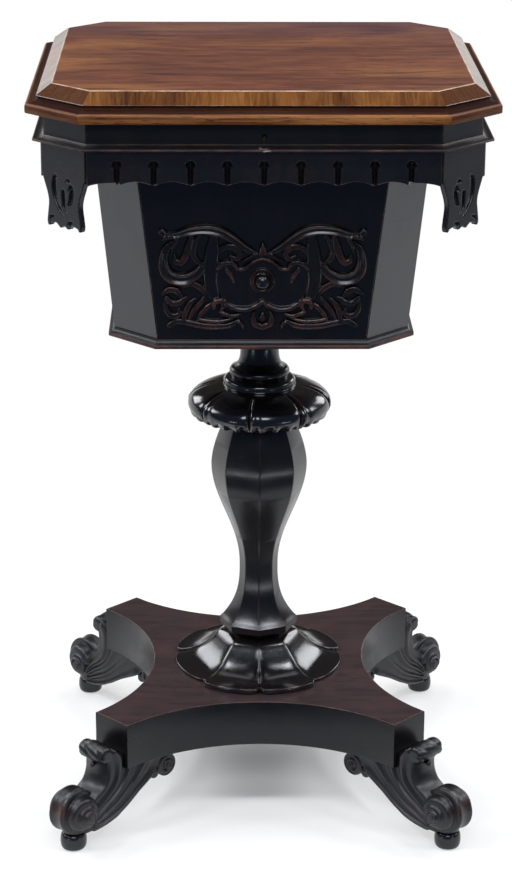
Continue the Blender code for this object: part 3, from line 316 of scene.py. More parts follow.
def beside(corners, i, reach):
    """The places at a distance before and after one corner of an eight-sided outline."""
    here = corners[i]
    return here + unit(corners[i - 1] - here) * reach, here + unit(corners[(i + 1) % 8] - here) * reach


def octagon(half_x, half_y, cant, z):
    """An eight-sided outline with slightly rounded corners."""
    corners = eight_corners(half_x, half_y, cant)
    ring = []
    for i, here in enumerate(corners):
        a, b = beside(corners, i, 0.0009)
        ring.append(bow(a, here, b, 4))
    return level(np.vstack(ring), z)


def case_ring(offset, z):
    """The outline of the case, moved outward."""
    return octagon(CASE_X + offset, CASE_Y + offset, CASE_CANT + offset * CANT_RATE, z)


def side_frame(side):
    """Middle, direction along, outward direction and half length of one side of the case."""
    ring = eight_corners(CASE_X, CASE_Y, CASE_CANT)
    a, b = ring[side], ring[(side + 1) % 8]
    length = np.linalg.norm(b - a)
    along = (b - a) / length
    return (a + b) / 2, along, np.array([along[1], -along[0]]), length / 2


def from_side(side, verts):
    """Points given as along, out and up on one side of the case, in the shared frame."""
    middle, along, out, _ = side_frame(side)
    return level(middle + verts[:, :1] * along + verts[:, 1:2] * out, verts[:, 2])


# Materials


class Nodes:
    """A node tree, with a short call for each kind of node."""

    def __init__(self, tree):
        self.tree = tree

    def feed(self, socket, value):
        if isinstance(value, bpy.types.NodeSocket):
            self.tree.links.new(value, socket)
        else:
            socket.default_value = value

    def add(self, kind, inputs=None, **settings):
        node = self.tree.nodes.new("ShaderNode" + kind)
        for key, value in settings.items():
            setattr(node, key, value)
        for key, value in (inputs or {}).items():
            self.feed(node.inputs[key], value)
        return node

    def get(self, kind, inputs=None, output=0, **settings):
        return self.add(kind, inputs, **settings).outputs[output]

    def sums(self, operation, a, b=0.0, clamp=False):
        return self.get("Math", {0: a, 1: b}, operation=operation, use_clamp=clamp)

    def times(self, a, b, clamp=False):
        return self.sums("MULTIPLY", a, b, clamp)

    def most(self, a, b):
        return self.sums("MAXIMUM", a, b)

    def blend(self, *pairs):
        """The sum of values, each with its weight."""
        total, *others = [self.times(value, weight) for value, weight in pairs]
        for other in others:
            total = self.sums("ADD", total, other)
        return total

    def vector(self, operation, a, b=None):
        output = "Value" if operation in ("LENGTH", "DOT_PRODUCT") else 0
        return self.get("VectorMath", {0: a} if b is None else {0: a, 1: b}, output, operation=operation)

    def parts(self, vector):
        return self.add("SeparateXYZ", {0: vector}).outputs

    def noise(self, vector, scale, detail, rough, twist=0.0, by=None):
        """A noise on coordinates that are first stretched."""
        if by:
            vector = self.vector("MULTIPLY", vector, by)
        return self.get("TexNoise", {"Vector": vector, "Scale": scale, "Detail": detail, "Roughness": rough,
                                     "Distortion": twist})

    def ramp(self, value, stops, smooth=False):
        node = self.add("ValToRGB", {0: value})
        if smooth:
            node.color_ramp.interpolation = "EASE"
        elements = node.color_ramp.elements
        while len(elements) < len(stops):
            elements.new(0.5)
        for element, (place, colour) in zip(elements, stops):
            element.position = place
            element.color = (*(colour if isinstance(colour, tuple) else (colour,) * 3), 1.0)
        return node.outputs[0]

    def mix(self, share, a, b):
        node = self.add("Mix", data_type="RGBA")
        for i, value in ((0, share), (6, a), (7, b)):
            self.feed(node.inputs[i], (*value, 1.0) if isinstance(value, tuple) else value)
        return node.outputs[2]

    def stain(self, colour, value, low, high, share, tone):
        """A colour with a tone over it, by a share that grows while a value goes from low to high."""
        return self.mix(self.ramp(value, [(low, 0.0), (high, share)]), colour, tone)

    def bump(self, height, strength, distance, normal=None):
        inputs = {"Height": height, "Strength": strength, "Distance": distance}
        if normal is not None:
            inputs["Normal"] = normal
        return self.get("Bump", inputs)


class Finish(Nodes):
    """A new material on the coordinates of its piece."""

    def __init__(self, name, specular=0.5, metallic=0.0):
        self.material = bpy.data.materials.new(name)
        self.material.use_nodes = True
        super().__init__(self.material.node_tree)
        self.shader = self.tree.nodes["Principled BSDF"].inputs
        self.shader["Metallic"].default_value = metallic
        self.shader["Specular IOR Level"].default_value = specular
        self.place = self.get("TexCoord", output="Object")

    def tint_reflections_blue(self):
        """A bluish tint on the reflections of the dark polish: painted colour of the room's light in them."""
        self.shader["Specular Tint"].default_value = (0.90, 0.93, 1.0, 1.0)

    def worn(self):
        return self.get("Attribute", output="Fac", attribute_name="wear")

    def edges(self, radius):
        """Where a surface turns sharply, from the difference of its rounded and its own direction."""
        soft = self.get("Bevel", {"Radius": radius}, samples=6)
        own = self.get("NewGeometry", output="Normal")
        return self.sums("SUBTRACT", 1.0, self.vector("DOT_PRODUCT", soft, own), True)

    def bent(self, scale, reach):
        """The coordinates, swayed by a slow noise."""
        sway = self.get("TexNoise", {"Vector": self.place, "Scale": scale, "Detail": 2.0}, 1)
        return self.vector("ADD", self.place, self.vector("MULTIPLY", sway, reach))

    def along_side(self):
        """Coordinates that follow each side of an eight-sided frame: along it, across it and up.

        The direction is turned into the piece's own frame, so that it stays with the lid when it opens. Its
        parts are given too.
        """
        normal = self.get("VectorTransform", {0: self.get("NewGeometry", output="True Normal")},
                          vector_type="NORMAL", convert_from="WORLD", convert_to="OBJECT")
        out = self.vector("NORMALIZE", self.vector("MULTIPLY", normal, (1.0, 1.0, 0.0)))
        along = self.vector("CROSS_PRODUCT", out, (0.0, 0.0, 1.0))
        side = self.get("CombineXYZ", {0: self.vector("DOT_PRODUCT", self.place, along),
                                       1: self.vector("DOT_PRODUCT", self.place, out),
                                       2: self.parts(self.place)[2]})
        return side, self.parts(normal)

    def patchy(self, scale, low, high, detail=6.0, rough=0.65):
        """A roughness that changes from place to place."""
        return self.ramp(self.noise(self.place, scale, detail, rough), [(0.25, low), (0.75, high)])

    def rubbed(self, scale, low, high, least):
        """Patches of strong wear, and the least of it between them; on the lid's field edge they break up a
        painted highlight line.
        """
        return self.ramp(self.noise(self.place, scale, 4.0, 0.6), [(low, least), (high, 1.0)])

    def wave(self, scale, strength, fine):
        """A gently uneven surface under a fine one."""
        return self.bump(self.noise(self.place, scale, 2.0, 0.5), strength, 0.0020, fine)

    def done(self, colour, roughness, normal):
        for socket, value in (("Base Color", colour), ("Roughness", roughness), ("Normal", normal)):
            self.tree.links.new(value, self.shader[socket])
        return self.material


def dark_wood(name, grain, edges=True, gloss=0.20, red=0.5, chip=None, wavy=0.07, specular=0.54):
    """Aged near-black polish that has worn to red-brown wood on the edges."""
    s = Finish(name, specular)
    s.tint_reflections_blue()
    cloud = s.noise(s.place, 14.0, 5.0, 0.6)
    streak = s.noise(s.place, 4.0, 5.0, 0.62, 0.3, grain)
    colour = s.ramp(s.blend((cloud, 0.55), (streak, 0.45)), [
        (0.30, (0.0018, 0.0020, 0.0027)), (0.52, (0.0036, 0.0032, 0.0037)),
        (0.66, (0.0090 * (0.5 + red), 0.0046, 0.0044)), (0.80, (0.0180 * (0.5 + red), 0.0070, 0.0056)),
    ])
    worn = s.worn()
    if edges:
        worn = s.most(worn, s.times(s.edges(0.0016), 3.2, True))
    bare = s.ramp(streak, [(0.3, (0.0440, 0.0138, 0.0094)), (0.7, (0.1180, 0.0410, 0.0250))])
    colour = s.mix(s.times(worn, s.rubbed(55.0, 0.40, 0.66, 0.15), True), colour, bare)
    if chip:
        apart = s.vector("MULTIPLY", s.vector("SUBTRACT", s.place, chip), (0.72, 0.0, 1.0))
        ragged = s.times(s.noise(s.place, 300.0, 4.0, 0.7), 0.0170)
        away = s.sums("ADD", s.vector("LENGTH", apart), ragged)
        pale = s.ramp(s.noise(s.place, 900.0, 3.0, 0.6), [
            (0.38, (0.120, 0.075, 0.045)), (0.60, (0.620, 0.520, 0.400)),
        ])
        colour = s.mix(s.ramp(away, [(0.0098, 1.0), (0.0104, 0.0)]), colour, pale)
    pores = s.noise(s.place, 5.0, 3.0, 0.6, by=tuple(g * 9 for g in grain))
    wave = s.wave(26.0, wavy, s.bump(pores, 0.05, 0.0003))
    return s.done(colour, s.patchy(38.0, gloss - 0.03, gloss + 0.10), wave)


def lid_wood(name):
    """Figured rosewood on the field, with short cross grain on the bevelled edge."""
    s = Finish(name)
    bent = s.bent(5.0, (0.0, 0.055, 0.02))
    figure = s.noise(bent, 1.6, 6.0, 0.60, 0.8, (8.0, 60.0, 60.0))
    bands = s.noise(bent, 4.2, 5.0, 0.6, 0.3, (5.0, 62.0, 62.0))
    cloud = s.noise(bent, 1.0, 4.0, 0.6, 0.6, (12.0, 24.0, 24.0))
    thin = s.noise(bent, 1.0, 4.0, 0.62, 0.3, (16.0, 250.0, 250.0))
    field = s.ramp(s.blend((figure, 0.36), (bands, 0.18), (cloud, 0.24), (thin, 0.22)), [
        (0.38, (0.0480, 0.0135, 0.0090)), (0.46, (0.0880, 0.0256, 0.0148)),
        (0.52, (0.1200, 0.0375, 0.0205)), (0.57, (0.1560, 0.0530, 0.0262)),
        (0.64, (0.2000, 0.0760, 0.0350)),
    ])
    height, depth = s.parts(s.place)[2], s.parts(s.place)[1]
    black = (0.0175, 0.0066, 0.0053)
    gold = s.noise(s.place, 7.0, 3.0, 0.5, by=(1.0, 2.2, 2.2))
    field = s.stain(field, gold, 0.54, 0.70, 0.80, (0.2188, 0.0858, 0.0315))
    dark = s.noise(bent, 2.4, 3.0, 0.5, 0.8, (3.4, 46.0, 46.0))
    field = s.stain(field, dark, 0.60, 0.68, 0.60, black)
    fleck = s.noise(bent, 1.0, 3.0, 0.6, by=(38.0, 460.0, 460.0))
    field = s.stain(field, fleck, 0.55, 0.68, 0.50, (0.0240, 0.0085, 0.0070))
    # Towards the back the field is mixed to grey-purple: a painted reflection of the bluish room, seen at a
    # grazing angle.
    field = s.stain(field, depth, 0.07, 0.15, 0.40, (0.0600, 0.0300, 0.0500))
    pores = s.noise(s.place, 1.0, 2.0, 0.6, by=(70.0, 1500.0, 1500.0))
    field = s.stain(field, pores, 0.60, 0.72, 0.55, black)

    side, faced = s.along_side()
    stripes = s.noise(side, 1.0, 5.0, 0.62, 0.9, (260.0, 26.0, 26.0))
    broad = s.noise(side, 1.0, 3.0, 0.5, by=(22.0, 6.0, 6.0))
    edge = s.ramp(s.blend((stripes, 0.52), (broad, 0.48)), [
        (0.34, (0.0330, 0.0108, 0.0032)), (0.46, (0.0860, 0.0300, 0.0070)),
        (0.56, (0.1340, 0.0520, 0.0122)), (0.70, (0.1900, 0.0830, 0.0220)),
    ])
    canted = s.sums("ABSOLUTE", s.times(faced[0], faced[1]))
    edge = s.stain(edge, canted, 0.04, 0.10, 0.78, (0.0400, 0.0120, 0.0058))
    colour = s.mix(s.ramp(faced[2], [(0.90, 0.0), (0.97, 1.0)]), edge, field)
    low = s.ramp(faced[2], [(0.05, 1.0), (0.45, 0.0)])
    colour = s.mix(low, colour, (0.0700, 0.0240, 0.0115))
    # A pale line on the rounded edge of the field, broken into patches: a painted highlight.
    turning = s.ramp(faced[2], [(0.825, 0.0), (0.850, 1.0), (0.985, 1.0), (0.998, 0.0)])
    line = s.times(s.times(turning, s.rubbed(42.0, 0.34, 0.58, 0.30)),
                   s.sums("GREATER_THAN", height, LID_Z1 - 0.003))
    colour = s.mix(line, colour, (0.4600, 0.3300, 0.2400))
    return s.done(colour, s.patchy(30.0, 0.14, 0.24), s.wave(18.0, 0.10, s.bump(pores, 0.10, 0.0003)))


def lip_wood(name):
    """Golden-brown moulding with long dark streaks, duller in its hollow, where it is darkened by painted
    shade under the bevel.
    """
    dullest = 0.16
    s = Finish(name, dullest)
    side, faced = s.along_side()
    streak = s.noise(side, 1.0, 5.0, 0.6, 0.4, (9.0, 300.0, 520.0))
    patch = s.noise(side, 1.0, 3.0, 0.55, by=(7.0, 40.0, 60.0))
    colour = s.ramp(s.blend((streak, 0.55), (patch, 0.45)), [
        (0.36, (0.0190, 0.0064, 0.0036)), (0.44, (0.1000, 0.0330, 0.0102)),
        (0.54, (0.2050, 0.0780, 0.0225)), (0.68, (0.3100, 0.1290, 0.0420)),
    ])
    colour = s.stain(colour, s.sums("ABSOLUTE", faced[0]), 0.15, 0.40, 0.60, (0.0480, 0.0140, 0.0080))
    fleck = s.noise(side, 1.0, 3.0, 0.6, by=(70.0, 300.0, 800.0))
    colour = s.stain(colour, fleck, 0.56, 0.66, 0.75, (0.0240, 0.0080, 0.0045))
    share = s.sums("DIVIDE", s.sums("SUBTRACT", s.parts(s.place)[2], LID_Z0), LID_Z1 - LID_Z0)
    # The hollow under the lid's bevel is mixed to near black: painted shade.
    hollow = s.ramp(share, [(0.338, 0.0), (0.358, 0.92)])
    colour = s.mix(hollow, colour, (0.0150, 0.0044, 0.0036))
    s.feed(s.shader["Specular IOR Level"], s.sums("SUBTRACT", dullest, s.times(hollow, 0.14)))
    colour = s.mix(s.times(s.worn(), 0.35), colour, (0.2975, 0.1300, 0.0520))
    rough = s.sums("ADD", s.patchy(30.0, 0.26, 0.42), s.times(hollow, 0.25))
    return s.done(colour, rough, s.bump(streak, 0.12, 0.0004))


def platform_wood(name):
    """Dark red-brown polish, a little worn to brown on the top."""
    s = Finish(name, 0.36)
    s.tint_reflections_blue()
    grain = s.noise(s.bent(7.0, (0.0, 0.03, 0.03)), 2.0, 6.0, 0.6, 0.3, (6.0, 70.0, 70.0))
    top = s.ramp(grain, [
        (0.26, (0.0195, 0.0140, 0.0160)), (0.50, (0.0310, 0.0200, 0.0225)),
        (0.74, (0.0450, 0.0250, 0.0260)),
    ])
    mottle = s.noise(s.place, 30.0, 5.0, 0.65, 0.4)
    top = s.stain(top, mottle, 0.46, 0.68, 0.55, (0.0540, 0.0270, 0.0250))
    side = s.ramp(grain, [(0.30, (0.0022, 0.0024, 0.0030)), (0.75, (0.0060, 0.0046, 0.0048))])
    up = s.parts(s.get("NewGeometry", output="Normal"))[2]
    colour = s.stain(side, up, 0.45, 0.85, 1.0, top)
    worn = s.times(s.worn(), s.rubbed(40.0, 0.35, 0.65, 0.2))
    colour = s.mix(worn, colour, (0.055, 0.0210, 0.0135))
    return s.done(colour, s.patchy(34.0, 0.24, 0.42), s.wave(22.0, 0.10, s.bump(grain, 0.10, 0.0004)))


def metal(name, bright, dull, gloss):
    """Old metal, tarnished in patches and rubbed bright on the edges."""
    s = Finish(name, metallic=1.0)
    patch = s.noise(s.place, 160.0, 6.0, 0.65)
    colour = s.ramp(patch, [(0.35, dull), (0.65, bright)])
    colour = s.mix(s.times(s.edges(0.0006), 2.0, True), colour, bright)
    rough = s.ramp(patch, [(0.3, gloss + 0.2), (0.7, gloss)])
    return s.done(colour, rough, s.bump(s.noise(s.place, 900.0, 3.0, 0.6), 0.10, 0.0002))


def inside_wood(name):
    """Plain polished wood of the fittings inside the case."""
    s = Finish(name)
    grain = s.noise(s.place, 1.6, 6.0, 0.6, 0.4, (14.0, 14.0, 160.0))
    colour = s.ramp(grain, [
        (0.30, (0.055, 0.0200, 0.0100)), (0.50, (0.130, 0.0520, 0.0240)), (0.72, (0.205, 0.0900, 0.0420)),
    ])
    pores = s.noise(s.place, 1.0, 2.0, 0.6, by=(120.0, 120.0, 1400.0))
    colour = s.stain(colour, pores, 0.58, 0.72, 0.5, (0.030, 0.0120, 0.0080))
    return s.done(colour, s.patchy(40.0, 0.40, 0.58, 5.0, 0.6), s.bump(pores, 0.15, 0.0004))


def lining_cloth(name):
    """Faded red silk, with a fine rib."""
    s = Finish(name, 0.25)
    s.shader["Sheen Weight"].default_value = 0.35
    rib = s.get("TexWave", {"Vector": s.place, "Scale": 520.0, "Distortion": 0.6, "Detail": 2.0}, 1,
                bands_direction="Y")
    fade = s.noise(s.place, 9.0, 4.0, 0.6)
    colour = s.ramp(fade, [(0.3, (0.115, 0.0140, 0.0200)), (0.7, (0.230, 0.0400, 0.0460))])
    colour = s.mix(s.times(rib, 0.25), colour, (0.060, 0.0080, 0.0120))
    return s.done(colour, s.ramp(fade, [(0.3, 0.70), (0.7, 0.88)]), s.bump(rib, 0.25, 0.0003))


UPRIGHT = (90.0, 90.0, 8.0)
LYING = (6.0, 6.0, 80.0)
CURLED = (40.0, 40.0, 14.0)
DARK = dark_wood("dark_polish", UPRIGHT)
CANTED = dark_wood("dark_polish_cants", UPRIGHT, specular=0.92)
DARK_RAIL = dark_wood("dark_polish_rails", LYING)
DARK_KEYED = dark_wood("dark_polish_keyed", LYING, gloss=0.30, chip=(0.0, -0.188, 0.7122), specular=0.46)
DARK_EDGE = dark_wood("dark_polish_edges", LYING, gloss=0.42, red=0.7, chip=(0.0, -0.196, 0.7090))
TURNED = dark_wood("dark_polish_turned", UPRIGHT, gloss=0.13, wavy=0.03, specular=0.82)
CARVED = dark_wood("dark_polish_carved", CURLED, False, 0.24, 0.8, specular=0.64)
FEET = dark_wood("dark_polish_feet", CURLED, False, 0.36, 0.8)
CRISP = dark_wood("dark_polish_cartouche", CURLED, False, 0.20, 0.8)
LID = lid_wood("figured_rosewood")
LIP = lip_wood("rosewood_moulding")
PLATFORM = platform_wood("platform_polish")
BRASS = metal("old_brass", (0.56, 0.37, 0.13), (0.22, 0.13, 0.05), 0.28)
IRON = metal("old_iron", (0.32, 0.30, 0.28), (0.085, 0.075, 0.068), 0.36)
# The lock case's iron is darker than the other iron so that the keyhole in front of it reads dark: painted
# shade.
SHADED_LOCK_IRON = metal("lock_iron_darkened_as_shade", (0.105, 0.098, 0.092), (0.022, 0.020, 0.019), 0.46)
INSIDE = inside_wood("inside_polish")
LINING = lining_cloth("faded_silk")


# Pieces that keep their solid


def dress(node, material, width, segments=3):
    """A solid that stays, with its own material and its sharp edges eased."""
    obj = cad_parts[node]
    obj.material_slots[0].material = material
    weld = obj.modifiers.new("weld", "WELD")
    weld.merge_threshold = 0.00001
    bevel = obj.modifiers.new("eased", "BEVEL")
    bevel.width = width
    bevel.segments = segments
    bevel.limit_method = "ANGLE"
    bevel.angle_limit = math.radians(30)
    bevel.use_clamp_overlap = False
    bevel.harden_normals = False


def dress_all():
    """Rails, well, inside fittings, lid and metalwork."""
    for side in SIDES:
        dress("frieze_" + side, DARK_KEYED if side == "front" else DARK_RAIL, 0.0005)
        dress("well_" + side, DARK, 0.0006)
        dress("gallery_" + side, INSIDE, 0.0008)
    for corner in CORNERS:
        dress("well_corner_" + corner, CANTED, 0.0006)
        dress("partition_" + corner, INSIDE, 0.0008)
    dress("lid_top", LID, 0.0009)
    dress("lid_lining", LINING, 0.0006)
    dress("case_floor", INSIDE, 0.0005)
    dress("bearer_block", DARK, 0.0012)
    dress("lock_bolt", IRON, 0.0002, 2)
    # The lock case behind the keyhole takes the darkened iron: painted shade in the hole.
    dress("lock_case", SHADED_LOCK_IRON, 0.0003, 2)
    dress("lock_strike", BRASS, 0.0003, 2)
    for side in ("left", "right"):
        dress("hinge_case_leaf_" + side, BRASS, 0.0002, 2)
        dress("hinge_lid_leaf_" + side, BRASS, 0.0002, 2)
        dress("hinge_pin_" + side, IRON, 0.0002, 2)


# Mouldings that run round the case and the well


def moulding(name, profile, material, node, body, worn):
    """A profile of (offset, height) swept round the case, with its worn rows."""
    rows = [case_ring(offset, z) for offset, z in profile]
    verts, faces = loft(rows, ring=True)
    wear = np.zeros(len(rows))
    for i, value in worn:
        wear[i] = value
    return piece(name, verts, [f[::-1] for f in faces], material, (node,), body, 40.0,
                 np.repeat(wear, len(rows[0])))


def arc(x0, z0, x1, z1, bulge, count):
    """Points from one place to another on a bow that stands out by a share of its length."""
    t = np.arange(count + 1) / count
    lift = bulge * 4 * t * (1 - t)
    return [*np.column_stack([x0 + (x1 - x0) * t + (z1 - z0) * lift, z0 + (z1 - z0) * t - (x1 - x0) * lift])]


def cut_box(obj, low, high):
    """A box cut out of a piece for good."""
    mesh = bpy.data.meshes.new("cutter")
    spans = list(zip(low, high))
    mesh.from_pydata([(x, y, z) for x in spans[0] for y in spans[1] for z in spans[2]], [], [
        (0, 1, 3, 2), (4, 6, 7, 5), (0, 4, 5, 1), (2, 3, 7, 6), (0, 2, 6, 4), (1, 5, 7, 3)])
    cutter = new_object("cutter", mesh)
    cut = obj.modifiers.new("hinge", "BOOLEAN")
    cut.object = cutter
    cut.operation = "DIFFERENCE"
    bpy.context.view_layer.update()
    graph = bpy.context.evaluated_depsgraph_get()
    mesh = bpy.data.meshes.new_from_object(obj.evaluated_get(graph))
    obj.modifiers.clear()
    old = obj.data
    obj.data = mesh
    bpy.data.meshes.remove(old)
    bpy.data.objects.remove(cutter)


def build_mouldings():
    """The lip and cove of the lid, the edge under the frieze and the moulded board under the well."""
    core = LID_BEVEL_OUT - LID_FIELD_IN - LID_FILLET_IN + GAP
    nose = LID_OVERHANG
    lip = LID_Z0 + 0.0092
    top = LID_Z1 - LID_BEVEL_DROP - 0.0005
    profile = [(core, LID_Z0), (nose - 0.0016, LID_Z0), (nose - 0.0004, LID_Z0 + 0.0006),
               (nose, LID_Z0 + 0.0018), (nose, lip - 0.0026), (nose - 0.0004, lip - 0.0010),
               (nose - 0.0014, lip)]
    for a in np.linspace(0.06, 1, 11) * math.pi / 2:
        profile.append((nose - 0.0018 - (nose - 0.0018 - core) * math.sin(a),
                        top - (top - lip - 0.0002) * math.cos(a)))
    lid = moulding("lid_edge_moulding", profile, LIP, "lid_moulding", "lid", [(5, 0.5), (6, 0.7)])
    for word in ("left", "right"):
        low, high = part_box("hinge_lid_leaf_" + word)
        cut_box(lid, (low.x - GAP, 0.18, LID_Z0 - 0.002), (high.x + GAP, high.y + GAP, high.z + GAP))

    z0, z1 = heights("frieze_moulding")
    out = MOULD_PROUD
    profile = [(GAP, z0), (out - 0.0005, z0), (out, z0 + 0.0004), (out, z0 + 0.0015),
               (out - 0.0005, z0 + 0.0020)]
    profile += arc(out - 0.0012, z0 + 0.0022, GAP, z1, -0.20, 10)
    moulding("frieze_edge_moulding", profile, DARK_EDGE, "frieze_moulding", "table",
             [(i, 0.8) for i in range(1, 5)])

    low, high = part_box("well_base")
    out = high.x - WELL_FOOT_X
    profile = [(0.80, 0.0), (0.95, 0.02), (1.0, 0.08), (1.0, 0.36), (0.95, 0.42), (0.80, 0.45), (0.72, 0.47)]
    for a in np.linspace(0.1, 1.5, 9):
        profile.append((0.70 - 0.66 * math.sin(a), 0.50 + 0.46 * (1 - math.cos(a))))
    profile += [(0.02, 1.0)]
    rows = []
    for offset, share in profile:
        rows.append(octagon(WELL_FOOT_X + out * offset, high.y - out + out * offset,
                            WELL_FOOT_CANT + out * offset * CANT_RATE, low.z + (high.z - low.z) * share))
    wear = [1.0 if offset > 0.90 else 0.0 for offset, _ in profile]
    verts, faces = loft(rows)
    piece("well_base_moulding", verts, faces, DARK_EDGE, ("well_base",), sharp=40.0,
          wear=np.repeat(wear, len(rows[0])))


# Aprons and corner pendants


def mitred(s, d, flat, half, radius):
    """A flat outline made into a board with mitred ends."""
    ends = np.abs(s)[:, None, None] - (half + d * MITRE - GAP)
    return rounded(np.maximum(flat[:, None, :], ends), np.abs(d) - APRON_PROUD, radius)


def build_aprons():
    """A fluted board with a scalloped lower edge under each rail."""
    step = 0.0006
    scallop = 0.0050
    for side, word in ((0, "front"), (2, "right"), (4, "back"), (6, "left")):
        half = side_frame(side)[3]
        s = np.arange(-half - 0.003, half + 0.003 + step, step)
        d = np.arange(-0.0048, 0.0048, step)
        z = np.arange(APRON_Z1 - 0.0365, APRON_Z1 + 0.0018, step)
        count = int((half - 0.0160) / FLUTE_PITCH)
        flutes = [i * FLUTE_PITCH for i in range(-count, count + 1)]
        cusps = [-half, *flutes, half]
        outline = [(-half - 0.002, APRON_Z1)]
        for a, b in zip(cusps, cusps[1:]):
            for t in np.arange(16) / 16:
                drop = APRON_DROP - scallop * math.sin(math.pi * t) ** 0.7
                if a == -half or b == half:
                    end = t if a == -half else 1 - t
                    drop = APRON_DROP - scallop * math.sin(math.pi * end / 2) ** 0.6 + 0.0012 * end
                outline.append((a + (b - a) * t, APRON_Z1 - drop))
        outline += [(half + 0.002, APRON_Z1 - APRON_DROP), (half + 0.002, APRON_Z1)]
        gs, gz = np.meshgrid(s, z, indexing="ij")
        dd = d[None, :, None]
        body = mitred(s, dd, outline_distance(gs, gz, outline), half, 0.0007)
        nearest = np.min(np.abs(gs[..., None] - np.array(flutes)), axis=-1)
        drop = APRON_Z1 - gz
        head = np.hypot(nearest, np.maximum(0.0138 - drop, 0))
        wide = np.interp(drop, [0.0150, 0.0182, 0.0300], [0.0051, 0.0030, 0.0027])
        # Plain floats: the last bit of an array's power depends on where the array lies in memory, and the
        # board's faces lie on the grid, where that bit decides which side of them a point is on
        narrowing = np.array([(1 - share) ** 0.85 for share in fall(d, APRON_PROUD, 0.0054).tolist()])
        cut = np.maximum(head[:, None, :] - wide[:, None, :] * narrowing[None, :, None], -0.0023 - dd)
        verts, faces = nets(carve(body, cut, 0.0004), (s, d, z), step)
        verts = relax(verts, faces, 1, 0.3)
        wear = rise(convexity(verts, faces, 2), 0.00006, 0.00012) * (verts[:, 1] > 0)
        piece("fluted_apron_" + word, from_side(side, verts), faces, CARVED, ("apron_" + word,), sharp=180,
              wear=wear)


def band(line, widths, x, y):
    """Signed distance to a stroke along a line, as wide as the widths say."""
    d, place = line_distance(x, y, line)
    return d - np.interp(place, np.linspace(0, 1, len(widths)), widths) / 2


def build_pendants():
    """Corner posts that end in flat shaped pendants, with a leaf cut into each."""
    step = 0.00055
    half = CASE_CANT / math.sqrt(2)
    top = APRON_Z1
    foot = top - PENDANT_DROP
    s = np.arange(-0.0325, 0.0325 + step, step)
    d = np.arange(-RAIL_THICK - 0.0012, 0.0048, step)
    z = np.arange(foot - 0.0014, RAIL_Z1 + 0.0012, step)
    gs, gz = np.meshgrid(s, z, indexing="ij")
    dd = d[None, :, None]
    edge = [(half + 0.004, top), (half + 0.004, top - 0.0290), (half + 0.0006, top - 0.0292)]
    edge += [*spline([(half, top - 0.0300), (half - 0.0032, top - 0.0380), (half - 0.0072, top - 0.0480),
                      (half - 0.0086, top - 0.0560), (half - 0.0070, top - 0.0670),
                      (half - 0.0060, top - 0.0735)], 5)]
    edge += [(half - 0.0064, foot + 0.0022), (half - 0.0078, foot + 0.0004), (half - 0.0095, foot + 0.0008)]
    edge += [*spline([(half - 0.0108, foot + 0.0030), (0.0120, foot + 0.0044), (0.0085, foot + 0.0028),
                      (0.0060, foot + 0.0006)], 5)]
    edge += [(0.0035, foot + 0.0008), (0.0012, foot + 0.0026), (0.0, foot + 0.0029)]
    outline = edge + [(-a, b) for a, b in reversed(edge[:-1])]
    board = mitred(s, dd, outline_distance(gs, gz, outline), half, 0.0006)
    ends = np.abs(s)[:, None, None] - (half + dd * MITRE - GAP / 2)
    tall = np.maximum(RAIL_Z0 - z, z - RAIL_Z1)[None, None, :]
    post = rounded(np.maximum(ends, tall), np.maximum(dd, -RAIL_THICK - dd), 0.0006)
    body = np.minimum(board, post)
    # Leaf, stem, hook, moon, nick and notch, in shares of the half width and of the drop, with their widths
    strokes = (
        ([(0.30, 0.395), (0.36, 0.383), (0.42, 0.42), (0.44, 0.51), (0.39, 0.61), (0.29, 0.70), (0.17, 0.77),
          (0.02, 0.83)], (0.05, 0.12, 0.17, 0.19, 0.18, 0.15, 0.11, 0.03)),
        ([(0.01, 0.55), (0.0, 0.64), (-0.02, 0.73), (-0.12, 0.80)], (0.14, 0.16, 0.12, 0.04)),
        ([(-0.24, 0.53), (-0.35, 0.48), (-0.38, 0.55), (-0.33, 0.65), (-0.19, 0.71)],
         (0.05, 0.17, 0.22, 0.19, 0.05)),
        ([(-0.12, 0.43), (-0.22, 0.405), (-0.32, 0.42)], (0.04, 0.14, 0.04)),
        ([(0.64, 0.92), (0.58, 0.885), (0.46, 0.865)], (0.04, 0.13, 0.04)),
        ([(-0.18, 0.945), (-0.26, 0.915), (-0.40, 0.895)], (0.04, 0.14, 0.04)),
    )
    for side, word in ((1, "front_right"), (3, "back_right"), (5, "back_left"), (7, "front_left")):
        outer = 1 if side in (1, 5) else -1
        cuts = np.full(gs.shape, 1.0)
        for line, widths in strokes:
            points = spline([(a * half * outer, top - b * PENDANT_DROP) for a, b in line], 4)
            cuts = np.minimum(cuts, band(points, [w * half for w in widths], gs, gz))
        slope = cuts[:, None, :] + 0.35 * np.maximum(APRON_PROUD - dd, 0)
        verts, faces = nets(carve(body, np.maximum(slope, 0.0002 - dd), 0.0005), (s, d, z), step)
        verts = relax(verts, faces, 1, 0.3)
        wear = rise(convexity(verts, faces, 2), 0.00008, 0.00016) * (verts[:, 1] > -0.004)
        piece("pendant_post_" + word, from_side(side, verts), faces, CARVED, ("corner_post_" + word,),
              sharp=180, wear=wear)


# Carved cartouche on the front of the well

